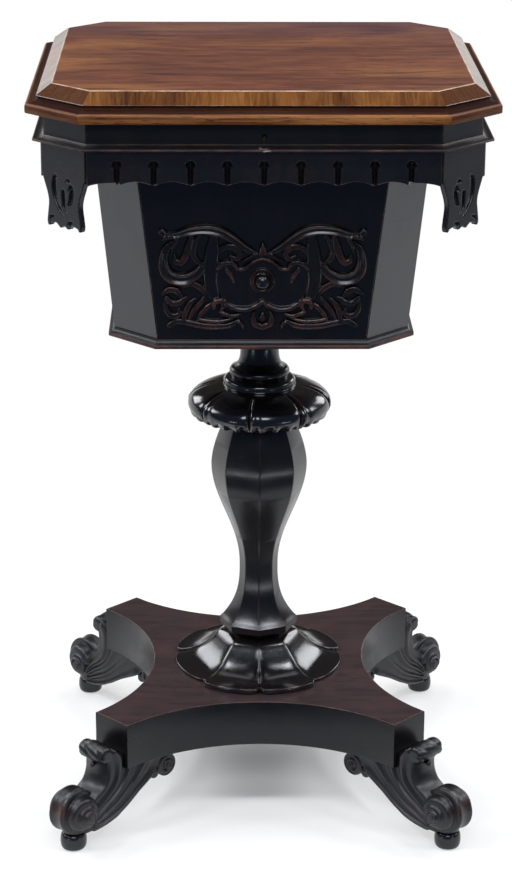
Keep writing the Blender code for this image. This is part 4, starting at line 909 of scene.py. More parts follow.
# Strokes of its right half: points in millimetres, half widths, heights, depth of the scoop along the middle
CARVING = (
    ([(94.5, 48.5), (90, 45), (80, 46), (69, 49.5), (53, 51), (40, 48.5), (30, 43), (21, 36), (12, 30),
      (6, 27.5)],
     (3.6, 3, 3.6, 4.2, 4.8, 4.8, 4.4, 3.8, 3, 1.2), (5, 4.8, 5.6, 6, 6.4, 6.4, 6, 5.4, 4.8, 3), 0.42),
    ([(94, 41), (89, 43.5), (83, 43)], (1.2, 2.4, 1.4), (3.6, 4.6, 3.6), 0),
    ([(83, 39), (91, 32), (93.6, 20), (91, 8.5), (84, 2.5), (74, 1.2), (65, 5), (58.5, 11.5), (55, 17)],
     (1.6, 3.4, 4.6, 5.8, 6.2, 5.8, 5.2, 4.2, 1.6), (3.4, 5.2, 6.2, 6.6, 6.6, 6.4, 6, 5.2, 3.2), 0.50),
    ([(67, 44), (70, 34), (73, 24.5), (77, 18.5), (82, 20), (83, 25)],
     (2.4, 3.6, 3.8, 3.4, 3, 1.6), (4.6, 5.2, 5.4, 5.6, 5, 3.6), 0.12),
    ([(80, 42.5), (84.5, 34), (86, 26)], (2.4, 2.2, 0.8), (4.4, 4, 2.4), 0),
    ([(59, 45.5), (64.5, 36), (65.5, 28), (62.5, 20.5), (55, 15)],
     (1.4, 3, 3.2, 2.8, 1.2), (3.4, 5, 5.4, 5, 3.2), 0.25),
    ([(46, 43), (48, 26), (49, 8), (48, -6), (45.5, -16)],
     (4, 6.6, 7.4, 6.8, 5), (3.2, 3.6, 3.7, 3.6, 3.2), 0.20),
    ([(41, 27.5), (38.5, 32), (31.5, 34.5), (24.5, 32), (21.5, 26.5), (25, 22), (30.5, 24)],
     (1.8, 2.6, 3, 3, 2.8, 2.6, 2), (4.2, 5.2, 5.8, 5.8, 5.6, 5.2, 4.4), 0.18),
    ([(43, 12), (39, 17), (32, 18.8), (26.5, 16.2), (24, 12)],
     (1.6, 2.4, 2.6, 2.4, 1.6), (4.4, 5.6, 6, 5.6, 4.6), 0),
    ([(34, 11.5), (30.5, 7.5), (28.5, 3), (27.5, -2)], (1.8, 2.4, 2, 0.8), (4.6, 5, 4.4, 2.6), 0),
    ([(24, 12), (18, 12), (12, 16.5), (6.5, 20.2), (0, 22)], (1.8, 1.8, 1.9, 2, 2), (4.6, 4.6, 4.8, 5, 5), 0),
    ([(0, 37.5), (0.6, 33), (1.2, 28)], (0.8, 2.6, 3), (3.6, 5.2, 4.6), 0),
    ([(0, 26.5), (7, 25), (14, 21), (19.5, 19)], (2.6, 2.4, 2, 1.2), (3.6, 3.8, 3.6, 3), 0.1),
    ([(36, -20.5), (33, -24), (25, -28.3), (15, -29), (6, -25.5), (0, -20.8)],
     (1.8, 2.2, 2.5, 2.5, 2.3, 1.9), (4.6, 5.2, 5.6, 5.8, 5.6, 5), 0),
    ([(46, -27), (45, -21.5), (39.5, -20), (37, -24.5), (39.5, -30)],
     (2.2, 2.8, 2.8, 2.6, 1.8), (5, 6, 6, 5.6, 4.4), 0),
    ([(40, -31.5), (36, -33.5), (28, -35.8), (21, -33.5)], (2, 2.4, 2.4, 1.2), (4.8, 5.4, 5.2, 3.4), 0),
    ([(61, -38.5), (52, -40.5), (40, -41), (29, -38.6)], (1.6, 2.2, 2.2, 1.2), (4.6, 5.4, 5.4, 3.8), 0),
    ([(88, -45.6), (81, -41.5), (70, -43), (58, -45.6), (44, -46.6), (32, -45.6), (22.5, -41)],
     (2.8, 2.8, 3, 3.2, 3.2, 3, 1.4), (4.6, 4.8, 5.2, 5.6, 5.8, 5.4, 3.6), 0.30),
    ([(22, -42), (19, -45.5), (18.5, -49)], (1.6, 2, 0.8), (4, 4.4, 3), 0),
    ([(94, -13), (88, -9), (81, -10.8), (77, -17)], (1.8, 3, 3.2, 1.6), (4.2, 5.2, 5.2, 3.6), 0.2),
    ([(75, -5.5), (66, -3.2), (57, -8.5), (54, -14)], (1.8, 3, 3, 1.4), (4.4, 5.4, 5.2, 3.6), 0.2),
    ([(91, -17), (85.5, -23), (79, -22.3), (72, -17)], (1.8, 3, 3, 1.4), (4.2, 5, 5, 3.4), 0.2),
    ([(92, -20), (91, -30), (85.5, -36), (79, -34), (79.5, -28.5)],
     (1.4, 2.6, 3, 2.6, 1.4), (3.8, 4.8, 5, 4.6, 3.4), 0.2),
    ([(75, -43), (73.5, -34), (70, -25), (64, -18.5)], (1.6, 2.8, 2.8, 1.2), (4.2, 5, 5, 3.4), 0.15),
    ([(69.5, -38.5), (65.5, -30.5), (60, -23.5), (55.5, -17)],
     (1.6, 2.6, 2.6, 1.2), (4.2, 4.8, 4.8, 3.4), 0.1),
    ([(61.5, -41), (58.5, -34), (53, -27.5), (48, -23)], (1.6, 2.6, 2.6, 1.4), (4.2, 5, 5, 3.6), 0.1),
    ([(7.6, -32), (8.8, -37.5), (6.8, -44), (0, -47.2)], (1.2, 2.6, 3, 3), (4.2, 5.8, 5.8, 5.4), 0.15),
    ([(0, -33), (0.8, -37), (0, -41)], (1, 2.4, 1), (3, 4.4, 3.4), 0),
)
SHIELD = [(0, 22), (6.5, 20), (12, 16.5), (18, 12), (24, 12), (30, 18), (40, 16), (43, 9), (44, 0), (42, -12),
          (35, -22), (25, -28), (15, -28.5), (6, -25), (0, -20), (-5, -20), (-5, 22)]


def carving_place(points):
    """Points given as across, up the slope from the boss and out of the face, in the shared frame."""
    lean = WELL_TAPER / WELL_TALL
    length = math.hypot(1.0, lean)
    u, w, h = points.T
    z = WELL_FOOT_Z + (CARVING_RISE + w - lean * h) / length
    y = -(WELL_FOOT_Y + (CARVING_RISE + w) * lean / length) - h / length
    return np.column_stack([u, y, z])


def build_carving():
    """The cartouche as a map of heights in millimetres, and its turned boss."""
    step = 0.0005
    u = np.arange(-0.0985, 0.0985 + step, step)
    w = np.arange(-0.0512, 0.0574, step)
    h = np.arange(-0.0009, 0.0092, step)
    gu, gw = np.meshgrid(u, w, indexing="ij")
    x = np.abs(gu) * 1000
    y = gw * 1000
    height = np.full(x.shape, -1.0)
    for points, widths, rises, scoop in CARVING:
        d, place = line_distance(x, y, spline(points, 5))
        share = np.linspace(0, 1, len(widths))
        q = d / (np.interp(place, share, widths) * 1.14)
        crown = np.clip(1 - np.clip(q, 0, 1) ** 3.6, 0, 1) ** 0.6
        crown = crown * (1 - 1.1 * scoop * np.clip(1 - (q / 0.74) ** 2, 0, 1))
        height = np.maximum(height, np.where(q < 1, np.interp(place, share, rises) * crown, -(q - 1) * 3))
    shield = outline_distance(x, y, SHIELD)
    height = np.maximum(height, np.where(shield < 0, 1.6 + 1.8 * rise(x, 22, 18), -shield))
    centre = np.hypot(x, y)
    seat = np.where(centre < 12.4, 3.6 * fall(centre, 12.6, 0.8), -1)
    height = np.where(centre < 12.6, np.maximum(seat, np.minimum(height, 3.6)), height)
    height = height / 1000
    hh = h[None, None, :]
    verts, faces = nets(np.maximum((hh - height[:, :, None]) * 0.7, GAP - hh), (u, w, h), step)
    verts = relax(verts, faces, 2, 0.35)
    verts[:, 2] = np.maximum(verts[:, 2], GAP * 0.8)
    wear = 0.75 * rise(convexity(verts, faces, 3), 0.00002, 0.00012) * rise(verts[:, 2], 0.0022, 0.002)
    wear += 0.60 * rise(verts[:, 2], 0.0032, 0.0020)
    piece("carved_cartouche", carving_place(verts), faces, CRISP, ("front_carving",), sharp=180, wear=wear)

    profile = [(0.0082, 0.0039), (0.0097, 0.0039), (0.0098, 0.0050), (0.0096, 0.0060), (0.0090, 0.0066),
               (0.0084, 0.0064), (0.0079, 0.0058), (0.0076, 0.0059)]
    profile += [(0.0074 * math.cos(a), 0.0059 + 0.0062 * math.sin(a)) for a in np.linspace(0.05, 1.5, 14)]
    verts, faces = loft([carving_place(circle(radius, out, 64)) for radius, out in profile])
    wear = np.zeros((len(profile), 64))
    wear[3:6] = 0.4
    piece("carved_boss", verts, faces, CRISP, ("carving_boss",), sharp=60, wear=wear)


# Glue fillets in the well, and screws of the hinges and the lock


def build_fillets():
    """Hollow glue fillets in the eight inside corners of the well."""
    foot, head = heights("well_base")[1] + GAP, heights("case_floor")[0] - GAP
    wall = WELL_WALL + 0.0002
    rows = [[] for _ in range(8)]
    for t in np.linspace(0.002, 0.998, 9):
        corners = eight_corners(WELL_FOOT_X + WELL_TAPER * t - wall, WELL_FOOT_Y + WELL_TAPER * t - wall,
                                WELL_FOOT_CANT - WELL_CANT_LOSS * t - wall * CANT_RATE)
        ring = level(corners, foot + (head - foot) * t)
        for i, here in enumerate(ring):
            a, b = beside(ring, i, 0.0042)
            rows[i].append([here, *bow(a, (a + b) / 2 * 0.55 + here * 0.45, b, 7)])
    for i in range(8):
        verts, faces = loft(rows[i])
        piece("well_fillet_%d" % (i + 1), verts, faces, DARK, sharp=40.0)


def build_screws():
    """Slotted screws, each as two halves of a head."""
    slot = 0.00028
    up, down, back = (0, 0, 1), (0, 0, -1), (0, 1, 0)
    screws = []
    for word, turn in (("left", 20), ("right", 65)):
        low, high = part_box("hinge_case_leaf_" + word)
        for i in range(3):
            x = low.x + (high.x - low.x) * (0.17 + 0.33 * i)
            y = low.y + (0.0042 if i == 1 else 0.0062)
            names = ["hinge_screw_%s_%s_%d" % (leaf, word, i) for leaf in ("case", "lid")]
            screws.append((names[0], (x, y, RAIL_Z1), up, 0.0021, turn + 50 * i, "table"))
            screws.append((names[1], (x, y, LID_Z0), down, 0.0021, turn + 70 * i, "lid"))
    low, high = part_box("lock_case")
    middle = (low.y + high.y) / 2
    for i, side in enumerate((-1, 1)):
        face = (side * 0.0240, high.y, low.z + 0.0062)
        top = (side * 0.0255, middle, high.z)
        screws.append(("lock_screw_%d" % i, top, up, 0.0017, 30 + 80 * i, "table"))
        screws.append(("strike_screw_%d" % i, (side * 0.0195, middle, LID_Z0), down, 0.0016, 75 * i, "lid"))
        screws.append(("lock_face_screw_%d" % i, face, back, 0.0019, 110 * i, "table"))
    for name, spot, way, radius, turn, body in screws:
        verts = []
        faces = []
        first = math.asin(slot / radius)
        angle = np.linspace(first, math.pi - first, 14)
        for side in (1, -1):
            flat = np.column_stack([np.cos(angle), side * np.sin(angle)])[::side] * radius
            half_verts, half_faces = loft([level(flat * share, out) for share, out in (
                (1.0, -0.0003), (1.0, 0.00004), (0.94, 0.00010))])
            faces += [tuple(k + len(verts) for k in face) for face in half_faces]
            verts += [*half_verts]
        aim = Vector(up).rotation_difference(Vector(way)).to_matrix()
        aim = aim @ Matrix.Rotation(math.radians(turn), 3, "Z")
        placed = np.array([aim @ Vector(v) + Vector(spot) for v in verts])
        piece(name, placed, faces, IRON, (), body, 30.0)


# Column


def build_neck():
    """The turned neck under the bearer block."""
    z0, z1 = heights("column_neck")
    profile = [(0.0286, z0)]
    for a in np.linspace(-0.80, 1.30, 12):
        profile.append((0.0248 + 0.0057 * math.cos(a), z0 + 0.0055 + 0.0054 * math.sin(a)))
    profile += [*spline([
        (0.0258, z0 + 0.0110), (0.0226, z0 + 0.0138), (0.0208, z0 + 0.0174), (0.0198, z0 + 0.0225),
        (0.0195, z0 + 0.0290), (0.0200, z0 + 0.0345), (0.0222, z0 + 0.0390), (0.0280, z0 + 0.0425),
        (0.0336, z0 + 0.0437)], 5)]
    profile += [(0.0340, z1 - 0.0012), (0.0334, z1)]
    verts, faces = loft([circle(radius, z, 80) for radius, z in profile])
    piece("turned_neck", verts, faces, DARK, ("column_neck",), sharp=50, wear=np.zeros(len(verts)))


def build_collar():
    """Eight swelling lobes with a crimped lower edge."""
    z0, z1 = heights("column_collar")
    lobes = 8
    across = 36
    spokes = lobes * across
    stations = [(0.0, 0.50), (0.015, 0.515)]
    stations += [*spline([(0.06, 0.58), (0.13, 0.69), (0.18, 0.79), (0.198, 0.840)], 4)]
    stations += [(0.203, 0.868), (0.212, 0.886)]
    stations += [*spline([(0.235, 0.915), (0.285, 0.955), (0.35, 0.986), (0.43, 1.0), (0.52, 0.990),
                          (0.60, 0.955), (0.67, 0.900), (0.73, 0.825), (0.780, 0.730), (0.812, 0.640),
                          (0.828, 0.570), (0.832, 0.535)], 5)]
    stations += [(0.828, 0.515), (0.836, 0.502), (0.860, 0.498), (0.900, 0.502), (0.940, 0.498),
                 (0.975, 0.482), (1.0, 0.450)]
    i = np.arange(spokes)
    angle = 2 * math.pi * i / spokes - math.pi / 2 + math.radians(13.0) - math.pi / lobes
    around = np.column_stack([np.cos(angle), np.sin(angle)])
    u = 2 * ((i % across) / across) - 1
    seam = 0.0026 * np.abs(u) ** 6 + 0.0022 * bell(np.abs(u), 1, 0.035)
    lip = 0.0013 * bell(u, -0.86, 0.075) - 0.0007 * bell(u, -0.66, 0.10)
    curl = np.cos(u * math.pi * 4.0 + 0.5 * np.sin(u * math.pi * 3.0))
    rows = []
    wear = []
    for share, size in stations:
        on_lobe = rise(share, 0.12, 0.08) * fall(share, 0.828, 0.05)
        crimp = fall(share, 0.36, 0.12) * rise(share, 0.11, 0.08)
        radius = COLLAR_R * size - (seam - lip) * on_lobe * size + 0.0015 * crimp * curl
        z = z0 + (z1 - z0) * share - 0.0016 * crimp * (0.5 + 0.5 * curl)
        z = z - 0.0012 * on_lobe * bell(np.abs(u), 1, 0.05) * rise(share, 0.6, 0.2)
        rows.append(level(np.minimum(radius, COLLAR_R)[:, None] * around, np.maximum(z, z0)))
        wear.append(0.5 * crimp * (curl > 0.3) + 0.45 * bell(u, -0.86, 0.05) * on_lobe)
    verts, faces = loft(rows)
    piece("lobed_collar", verts, faces, TURNED, ("column_collar",), sharp=70, wear=wear)


def eight_sided(radius, z):
    """A ring of eight flat sides with a corner to the front and eased edges."""
    ease = min(0.0008, radius * 0.04)
    corners = circle(radius, z, 8)
    ring = []
    for i, here in enumerate(corners):
        a, b = beside(corners, i, ease)
        inward = 1 - 0.22 * ease / radius
        ring += [a, here * (inward, inward, 1), b]
    return ring


def build_baluster():
    """The faceted stem between lotus and collar."""
    z0 = heights("column_lotus")[1] + GAP
    tall = heights("column_collar")[0] - GAP - z0
    foot, waist, belly, head = 0.0156, 0.0744, 0.1851, tall
    foot_r, waist_r, belly_r, head_r = 0.0392, 0.0199, 0.0491, 0.0370
    profile = [(0.0, 0.0150), (0.0, 0.0288), (0.0020, 0.0296), (0.0052, 0.0300), (0.0066, 0.0340),
               (0.0076, 0.0392), (0.0084, 0.0403), (0.0148, 0.0403), (0.0155, 0.0397)]
    for t in np.linspace(0.03, 1, 24):
        profile.append((foot + (waist - foot) * t, foot_r + (waist_r - foot_r) * (1 - (1 - t) ** 2.8)))
    for t in np.linspace(0.04, 1, 26):
        swell = (0.5 - 0.5 * math.cos(math.pi * t)) ** 1.08
        profile.append((waist + (belly - waist) * t, waist_r + (belly_r - waist_r) * swell))
    for t in np.linspace(0.08, 1, 10):
        profile.append((belly + (head - belly) * t, belly_r + (head_r - belly_r) * t ** 1.7))
    profile.append((head, 0.0120))
    verts, faces = loft([eight_sided(radius, z0 + height) for height, radius in profile])
    wear = np.zeros((len(profile), 24))
    wear[:, 1::3] = 0.45
    wear[6:9, :] = 0.15
    piece("faceted_baluster", verts, faces, DARK, ("column_baluster",), sharp=12, wear=wear)


def build_lotus():
    """Eight broad petals of uneven width, every other one raised over its neighbours."""
    z0, z1 = heights("column_lotus")
    bounds = np.radians([0, 39, 97, 138, 180])
    rims = np.array([0.0948, 0.0868, 0.0878, 0.0890])
    lifts = np.array([0.0026, 0.0, 0.0022, 0.0])
    top = 0.0330
    thick = 0.0030
    across = np.sin(np.linspace(-1, 1, 46)[1:-1] * math.pi / 2)
    u = np.tile(across, 4)
    which = np.repeat(np.arange(4), len(across))
    turn = bounds[which] + (bounds[which + 1] - bounds[which]) * (u + 1) / 2
    turn = np.concatenate([turn, 2 * math.pi - turn[::-1]])
    around = np.column_stack([np.sin(turn), -np.cos(turn)])
    u = np.concatenate([u, u[::-1]])
    which = np.concatenate([which, which[::-1]])
    spokes = len(turn)
    off = np.abs(u)
    rim = rims[which] - 0.0030 * off ** 5 - 0.0034 * off ** 18
    lift = lifts[which]
    stepped = ((which == 0) & (u > 0)) | (which == 2)
    lip = np.where(stepped, 0.0007, 0.0) * bell(off, 0.955, 0.035)
    joint = np.where(stepped | (which == 1), 0.0008, 0.0026) * bell(off, 1, 0.012)
    half = (bounds[which + 1] - bounds[which]) / 2
    chord = 2 * np.cos(half) / (np.cos(u * half) * (1 + np.cos(half)))
    rows = [(rim - 0.0008, z0), (rim, z0 + 0.0007), (rim, z0 + thick + lift - 0.0004),
            (rim - 0.0004, z0 + thick + lift)]
    wear = [np.full(spokes, value) for value in (0.0, 0.0, 0.25, 0.35)]
    line = spline([(0.0, 0.0), (0.08, 0.004), (0.16, 0.020), (0.26, 0.058), (0.36, 0.120), (0.46, 0.210),
                   (0.56, 0.335), (0.66, 0.495), (0.75, 0.665), (0.82, 0.805), (0.87, 0.890), (0.93, 0.955),
                   (1.0, 1.0)], 5)
    for share, up in line[1:]:
        radius = (rim - 0.0004) + (top - rim + 0.0004) * share
        radius = radius * (1 + (chord - 1) * rise(share, 0.02, 0.30) * fall(share, 1, 0.1))
        swell = 0.0004 * math.sin(math.pi * share) * (1 - u ** 4)
        z = z0 + thick + lift * (1 - share) ** 0.5 + (z1 - z0 - thick) * up + swell
        rows.append((radius, np.minimum(z + (lip - joint) * (1 - 0.6 * share), z1)))
        wear.append(0.25 * bell(off, 0.97, 0.03))
    rows.append((np.full(spokes, top - 0.0012), z1))
    wear.append(np.zeros(spokes))
    verts, faces = loft([level(radius[:, None] * around, z) for radius, z in rows])
    piece("lotus_base", verts, faces, TURNED, ("column_lotus",), sharp=50, wear=wear)


# Platform and feet


def build_platform():
    """A board with four hollow sides and eased edges."""
    low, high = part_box("base_platform")
    sag = high.x - PLATFORM_WAIST
    radius = (PLATFORM_CORNER * PLATFORM_CORNER + sag * sag) / (2 * sag)
    reach = math.asin(PLATFORM_CORNER / radius)
    outline = []
    for side in range(4):
        c = math.cos(math.pi / 2 * side)
        s = math.sin(math.pi / 2 * side)
        for angle in np.linspace(-reach, reach, 49):
            x = radius * math.sin(angle)
            y = -(PLATFORM_WAIST + radius) + radius * math.cos(angle)
            outline.append((x * c - y * s, x * s + y * c))
    outline = np.array(outline)
    normal = np.zeros(outline.shape)
    for edge in (outline - np.roll(outline, 1, axis=0), np.roll(outline, -1, axis=0) - outline):
        normal += np.column_stack([edge[:, 1], -edge[:, 0]]) / np.linalg.norm(edge, axis=1)[:, None]
    normal /= np.linalg.norm(normal, axis=1)[:, None]
    ease = 0.0014
    rows = [(outline * share, low.z, 0.0) for share in (0.3, 0.9)]
    for a in np.linspace(-math.pi / 2, math.pi / 2, 11):
        z = low.z + ease + ease * math.sin(a) if a < 0 else high.z - ease + ease * math.sin(a)
        rows.append((outline - normal * ease * (1 - math.cos(a)), z, 0.8 if 0.3 < a < 1.4 else 0.0))
    rows += [(outline * share, high.z, 0.0) for share in (0.97, 0.90, 0.6, 0.3)]
    verts, faces = loft([level(line, z) for line, z, _ in rows])
    wear = np.repeat([value for _, _, value in rows], len(outline))
    piece("hollow_platform", verts, faces, PLATFORM, ("base_platform",), sharp=40,
          wear=wear)


def foot_field(r, t, z):
    """Distances to one scroll foot, on a grid of reach, breadth and height."""
    gr, gz = np.meshgrid(r, z, indexing="ij")
    tt = np.abs(t)[None, :, None]
    back = CORNER_R + GAP
    ceiling = heights("base_platform")[0] - GAP
    curl = np.array([0.2325, 0.0945])
    toe = np.array([0.2646, 0.0418])
    scroll = np.array([0.1500, 0.0563])

    def polar(middle):
        """Distance and angle of the grid from a middle, seen from the side."""
        x, y = gr - middle[0], gz - middle[1]
        return np.hypot(x, y)[:, None, :], np.arctan2(y, x)[:, None, :]

    # The curved body, with flutes behind its ridge
    front = spline([(0.2345, 0.0880), (0.2336, 0.0785), (0.2348, 0.0695), (0.2400, 0.0612),
                    (0.2470, 0.0565)], 6)
    strap = spline([(0.2640, 0.0184), (0.2500, 0.0188), (0.2270, 0.0240), (0.2105, 0.0308), (0.1930, 0.0412),
                    (0.1716, 0.0517)], 6)
    ridge = spline([(0.2240, 0.0965), (0.2205, 0.0870), (0.2195, 0.0760), (0.2225, 0.0640), (0.2310, 0.0540),
                    (0.2420, 0.0455), (0.2520, 0.0350)], 6)
    outline = [(back - 0.008, ceiling + 0.008), (back - 0.008, 0.0880), (back + 0.0045, 0.0905),
               (0.2225, 0.0965), (0.2285, 0.1015), curl, *front, toe, *strap, (0.1608, 0.0596), scroll,
               (0.1416, 0.0635), (0.1440, ceiling + 0.008)]
    flat = outline_distance(gr, gz, outline)
    under, _ = line_distance(gr, gz, strap)
    over, _ = line_distance(gr, gz, ridge)
    fan = under / (under + over + 1e-9)
    flute = np.zeros(fan.shape)
    for low, high in ((0.08, 0.34), (0.40, 0.66), (0.72, 0.93)):
        q = rise(fan, low, high - low)
        flute = np.maximum(flute, np.sin(math.pi * q) ** 0.8 * (q > 0) * (q < 1))
    behind = gr < np.interp(gz, ridge[::-1, 1], ridge[::-1, 0])
    widest = 0.0208 - 0.0026 * rise(gr, 0.222, 0.030) - 0.0020 * fall(gr, 0.200, 0.040)
    breadth = np.where(behind, widest - 0.0030 * flute * behind,
                       widest - 0.0024 * np.clip(over / 0.004, 0, 1))
    weight = rise(r, 0.216, 0.020)
    moved = np.empty((len(r), len(t), len(z)))
    for j, place in enumerate(t):
        shifted = r + 0.0060 * min(1.0, abs(place) / 0.0195) ** 2.2 * weight
        for k in range(len(z)):
            moved[:, j, k] = np.interp(shifted, r, flat[:, k])
    body = rounded(moved, tt - breadth[:, None, :], 0.0022)

    # The stepped volute of the toe
    rho, theta = polar(toe)
    twist = 0.0018 * theta / math.pi
    groove = 0.0016 * np.clip(1 - (tt / 0.0070) ** 2, 0, 1)
    roll = rounded(rho - 0.0235 + groove, tt - 0.0102 + twist, 0.0028)
    inner, _ = polar(toe + np.array([-0.0012, -0.0010]))
    second = rounded(inner - 0.0184 + 0.20 * np.maximum(tt - 0.0120, 0), tt - 0.0188 - twist, 0.0042)
    core, _ = polar(toe + np.array([-0.0024, -0.0024]))
    third = rounded(core - 0.0118, tt - 0.0228, 0.0034)
    eye = rounded(core - 0.0078, tt - 0.0262, 0.0034)
    turn = (theta + 1.0) % (2 * math.pi)
    coil = np.abs(core - 0.0030 - 0.0036 * turn / (2 * math.pi))
    eye = carve(eye, coil + 0.7 * np.maximum(0.0250 - tt, 0) - 0.0009, 0.0005)

    # The curled leaf at the top and its bead
    rho, theta = polar(curl)
    wave = t[None, :, None] / 0.0165 + 0.45 * theta + 0.25 * np.sin(2 * theta)
    lobe = np.abs(np.sin(math.pi * wave * 0.9)) ** 0.75
    knuckle = 0.0090 + 0.0014 * lobe - 0.0020 * (tt / 0.019) ** 2
    fist = rounded(rho - knuckle, tt - 0.0185, 0.0046)
    bead = np.sqrt((gr - 0.2370)[:, None, :] ** 2 + tt ** 2 + (gz - 0.0818)[:, None, :] ** 2) - 0.0030

    # The inner scroll under the platform
    rho, theta = polar(scroll)
    turn = (-theta - 1.2) % (2 * math.pi)
    spiral = np.full(rho.shape, 1.0)
    for k in range(2):
        path = 0.0102 - 0.0052 * (turn + 2 * math.pi * k) / (2 * math.pi)
        spiral = np.minimum(spiral, np.abs(rho - path))
    channel = 0.0022 * np.clip(1 - (spiral / 0.0016) ** 2, 0, 1)
    disc = rounded(rho - 0.0123, tt - 0.0176 + channel, 0.0024)
    tip = rounded(polar((0.1652, 0.0505))[0] - 0.0052, tt - 0.0160, 0.0030)

    # The peg over the pad; all of it stays above the pad and outside the platform
    lower = (heights("foot_pad_front_left")[1] + GAP) - gz[:, None, :]
    peg = np.hypot(np.abs(gr - PAD_R)[:, None, :], tt) - 0.0112
    peg = np.maximum(np.maximum(peg, lower), gz[:, None, :] - 0.0400)
    for part, soft in ((roll, 0.0010), (second, 0.0006), (third, 0.0006), (eye, 0.0005), (fist, 0.0008),
                       (bead, 0.0006), (disc, 0.0008), (tip, 0.0008), (peg, 0.0015)):
        body = merge(body, part, soft)
    keep = np.maximum(gr - back, ceiling - gz)
    return np.maximum(np.maximum(body, lower), -keep[:, None, :])


def build_feet():
    """One carved foot, turned to the four corners, and a turned bun under each."""
    step = 0.0008
    r = np.arange(0.1350, 0.2915, step)
    t = np.arange(-0.0280, 0.0281, step)
    z = np.arange(0.0166, 0.1086, step)
    verts, faces = nets(foot_field(r, t, z), (r, t, z), step)
    verts = relax(verts, faces, 2, 0.35)
    wear = rise(convexity(verts, faces, 3), 0.00007, 0.00028) * 0.75
    wear += 0.40 * rise(verts[:, 0], 0.274, 0.010) * rise(verts[:, 2], 0.036, 0.01)
    wear = np.where(verts[:, 2] > 0.086, wear * 1.5, wear)
    for word, turn in (("front_right", -45), ("back_right", 45), ("back_left", 135), ("front_left", -135)):
        c = math.cos(math.radians(turn))
        s = math.sin(math.radians(turn))
        out, across, up = verts.T
        spun = np.column_stack([out * c - across * s, out * s + across * c, up])
        piece("scroll_foot_" + word, spun, faces, FEET, ("foot_" + word,), sharp=180, wear=wear)
        tall = heights("foot_pad_" + word)[1]
        profile = [(0.0085, 0.0)]
        for a in np.linspace(0.15, math.pi - 0.15, 16):
            profile.append((0.0098 + 0.0034 * math.sin(a) ** 0.7, tall * (0.5 - 0.46 * math.cos(a))))
        profile.append((0.0100, tall))
        rows = [circle(radius, height, 48, PAD_R * c, PAD_R * s) for radius, height in profile]
        pad_verts, pad_faces = loft(rows)
        piece("bun_" + word, pad_verts, pad_faces, DARK, ("foot_pad_" + word,), sharp=60)


# Stage: floor, light and camera

# Name, place, aim, size and power
LAMPS = (
    ("key_left", (-1.65, -1.15, 2.60), (0.0, 0.0, 0.3), (0.60, 0.50), 28.0),
    ("key_right", (1.60, -1.15, 2.60), (0.0, 0.0, 0.3), (0.50, 0.45), 20.0),
    ("band_left", (-0.82, 0.52, 2.65), (0.0, 0.0, 0.3), (1.00, 0.24), 14.0),
    ("band_right", (0.82, 0.52, 2.65), (0.0, 0.0, 0.3), (1.00, 0.24), 14.0),
    ("over_front", (0.0, -1.15, 2.70), (0.0, 0.0, 0.5), (1.5, 0.26), 17.0),
    ("front", (0.0, -3.4, 2.7), (0.0, 0.0, 0.5), (1.8, 1.2), 56.0),
    ("side_left", (-3.0, 0.4, 2.6), (0.0, 0.0, 0.3), (1.4, 1.4), 52.0),
    ("side_right", (3.0, 0.4, 2.6), (0.0, 0.0, 0.3), (1.4, 1.4), 45.0),
    ("back_left", (-2.3, 2.7, 1.9), (0.0, 0.0, 0.4), (1.3, 1.3), 30.0),
    ("back_right", (2.3, 2.7, 1.9), (0.0, 0.0, 0.4), (1.3, 1.3), 30.0),
    ("top_back", (0.0, 1.7, 3.4), (0.0, 0.0, 0.4), (2.0, 0.9), 6.0),
    ("low_left", (-0.80, -0.92, 0.02), (-0.2, -0.2, 0.6), (0.24, 0.07), 0.50),
    ("low_right", (0.80, -0.92, 0.02), (0.2, -0.2, 0.6), (0.24, 0.07), 0.50),
)


def build_floor():
    """A pale floor that runs out to white."""
    mesh = bpy.data.meshes.new("floor")
    left, right, near, far = -2.9, 2.02, 0.300, 9.0
    corners = [(left, -near, 0), (right, -near, 0), (right, far, 0), (left, far, 0)]
    mesh.from_pydata(corners, [], [(0, 1, 2, 3)])
    floor = new_object("floor", mesh)
    material = bpy.data.materials.new("pale_floor")
    material.use_nodes = True
    material.node_tree.nodes.clear()
    s = Nodes(material.node_tree)
    place = s.get("TexCoord", output="Object")
    away = s.sums("DIVIDE", s.vector("LENGTH", place), 2.0)
    fade = s.ramp(away, [(0.03, 0.12), (0.07, 0.24), (0.12, 0.45), (0.36, 1.0)], True)
    front = s.times(s.parts(place)[1], -1.0)
    fade = s.most(fade, s.ramp(front, [(0.265, 0.0), (near, 1.0)], True))
    path = s.add("LightPath").outputs
    shown = s.most(s.most(path["Is Camera Ray"], path["Is Glossy Ray"]), path["Is Transmission Ray"])
    diffuse = s.get("BsdfDiffuse", {"Color": (0.84, 0.84, 0.84, 1.0)})
    white = s.get("Emission", {"Color": (1.0, 1.0, 1.0, 1.0), "Strength": 1.0})
    s.add("OutputMaterial", {0: s.get("MixShader", {0: s.times(fade, shown), 1: diffuse, 2: white})})
    mesh.materials.append(material)


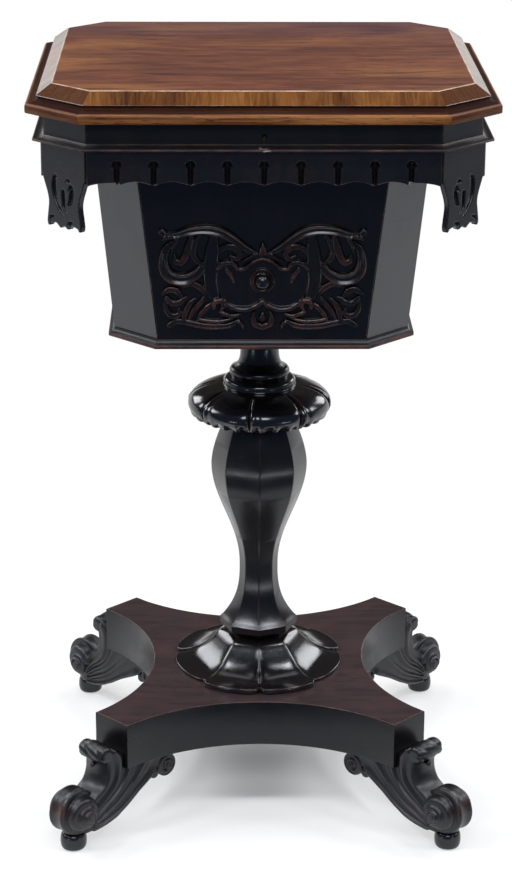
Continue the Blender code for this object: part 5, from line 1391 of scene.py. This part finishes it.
def build_world():
    """White behind the table, dim elsewhere."""
    world = bpy.data.worlds.new("studio")
    SCENE.world = world
    world.use_nodes = True
    world.node_tree.nodes.clear()
    s = Nodes(world.node_tree)
    x, y, z = s.parts(s.get("TexCoord", output="Generated"))
    behind = s.ramp(s.sums("ADD", s.times(y, 0.5), 0.5), [(0.42, 0.0), (0.80, 1.0)], True)
    low = s.ramp(z, [(0.08, 1.0), (0.17, 0.0)], True)
    aside = s.ramp(s.sums("ABSOLUTE", x), [(0.06, 0.15), (0.19, 1.0)], True)
    sweep = s.times(s.times(behind, low), aside)
    path = s.add("LightPath").outputs
    shown = s.times(s.most(path["Is Glossy Ray"], path["Is Transmission Ray"]), sweep)
    shown = s.most(shown, path["Is Camera Ray"])
    dim = s.mix(behind, (0.085, 0.118, 0.172), (0.075, 0.068, 0.062))
    colour = s.mix(shown, dim, (1.0, 1.0, 1.0))
    s.add("OutputWorld", {0: s.get("Background", {"Color": colour, "Strength": 1.0})})


def build_stage():
    """Floor, world, lamps and the photograph's camera."""
    build_floor()
    build_world()
    for name, spot, aim, size, power in LAMPS:
        lamp = bpy.data.lights.new(name, "AREA")
        lamp.shape = "RECTANGLE"
        lamp.size, lamp.size_y = size
        lamp.energy = power
        obj = new_object(name, lamp)
        obj.location = spot
        obj.rotation_euler = (Vector(aim) - Vector(spot)).to_track_quat("-Z", "Y").to_euler()
        obj.visible_camera = False

    data = bpy.data.cameras.new("camera")
    data.sensor_width = 36.0
    data.lens = 36.0 * 2554 / 873
    camera = new_object("camera", data)
    yaw, pan, pitch, roll = -0.0151, -0.0020, 0.3336, 0.0043
    camera.location = Matrix.Rotation(yaw, 4, "Z") @ Vector((-0.0082, -2.4656, 1.2231))
    aim = Matrix.Rotation(yaw + pan, 4, "Z") @ Matrix.Rotation(math.pi / 2 - pitch, 4, "X")
    aim = aim @ Matrix.Rotation(roll, 4, "Z")
    camera.rotation_euler = aim.to_euler()
    SCENE.camera = camera
    SCENE.view_settings.view_transform = "Standard"


dress_all()
build_mouldings()
build_aprons()
build_pendants()
build_carving()
build_fillets()
build_screws()
build_neck()
build_collar()
build_baluster()
build_lotus()
build_platform()
build_feet()
build_stage()
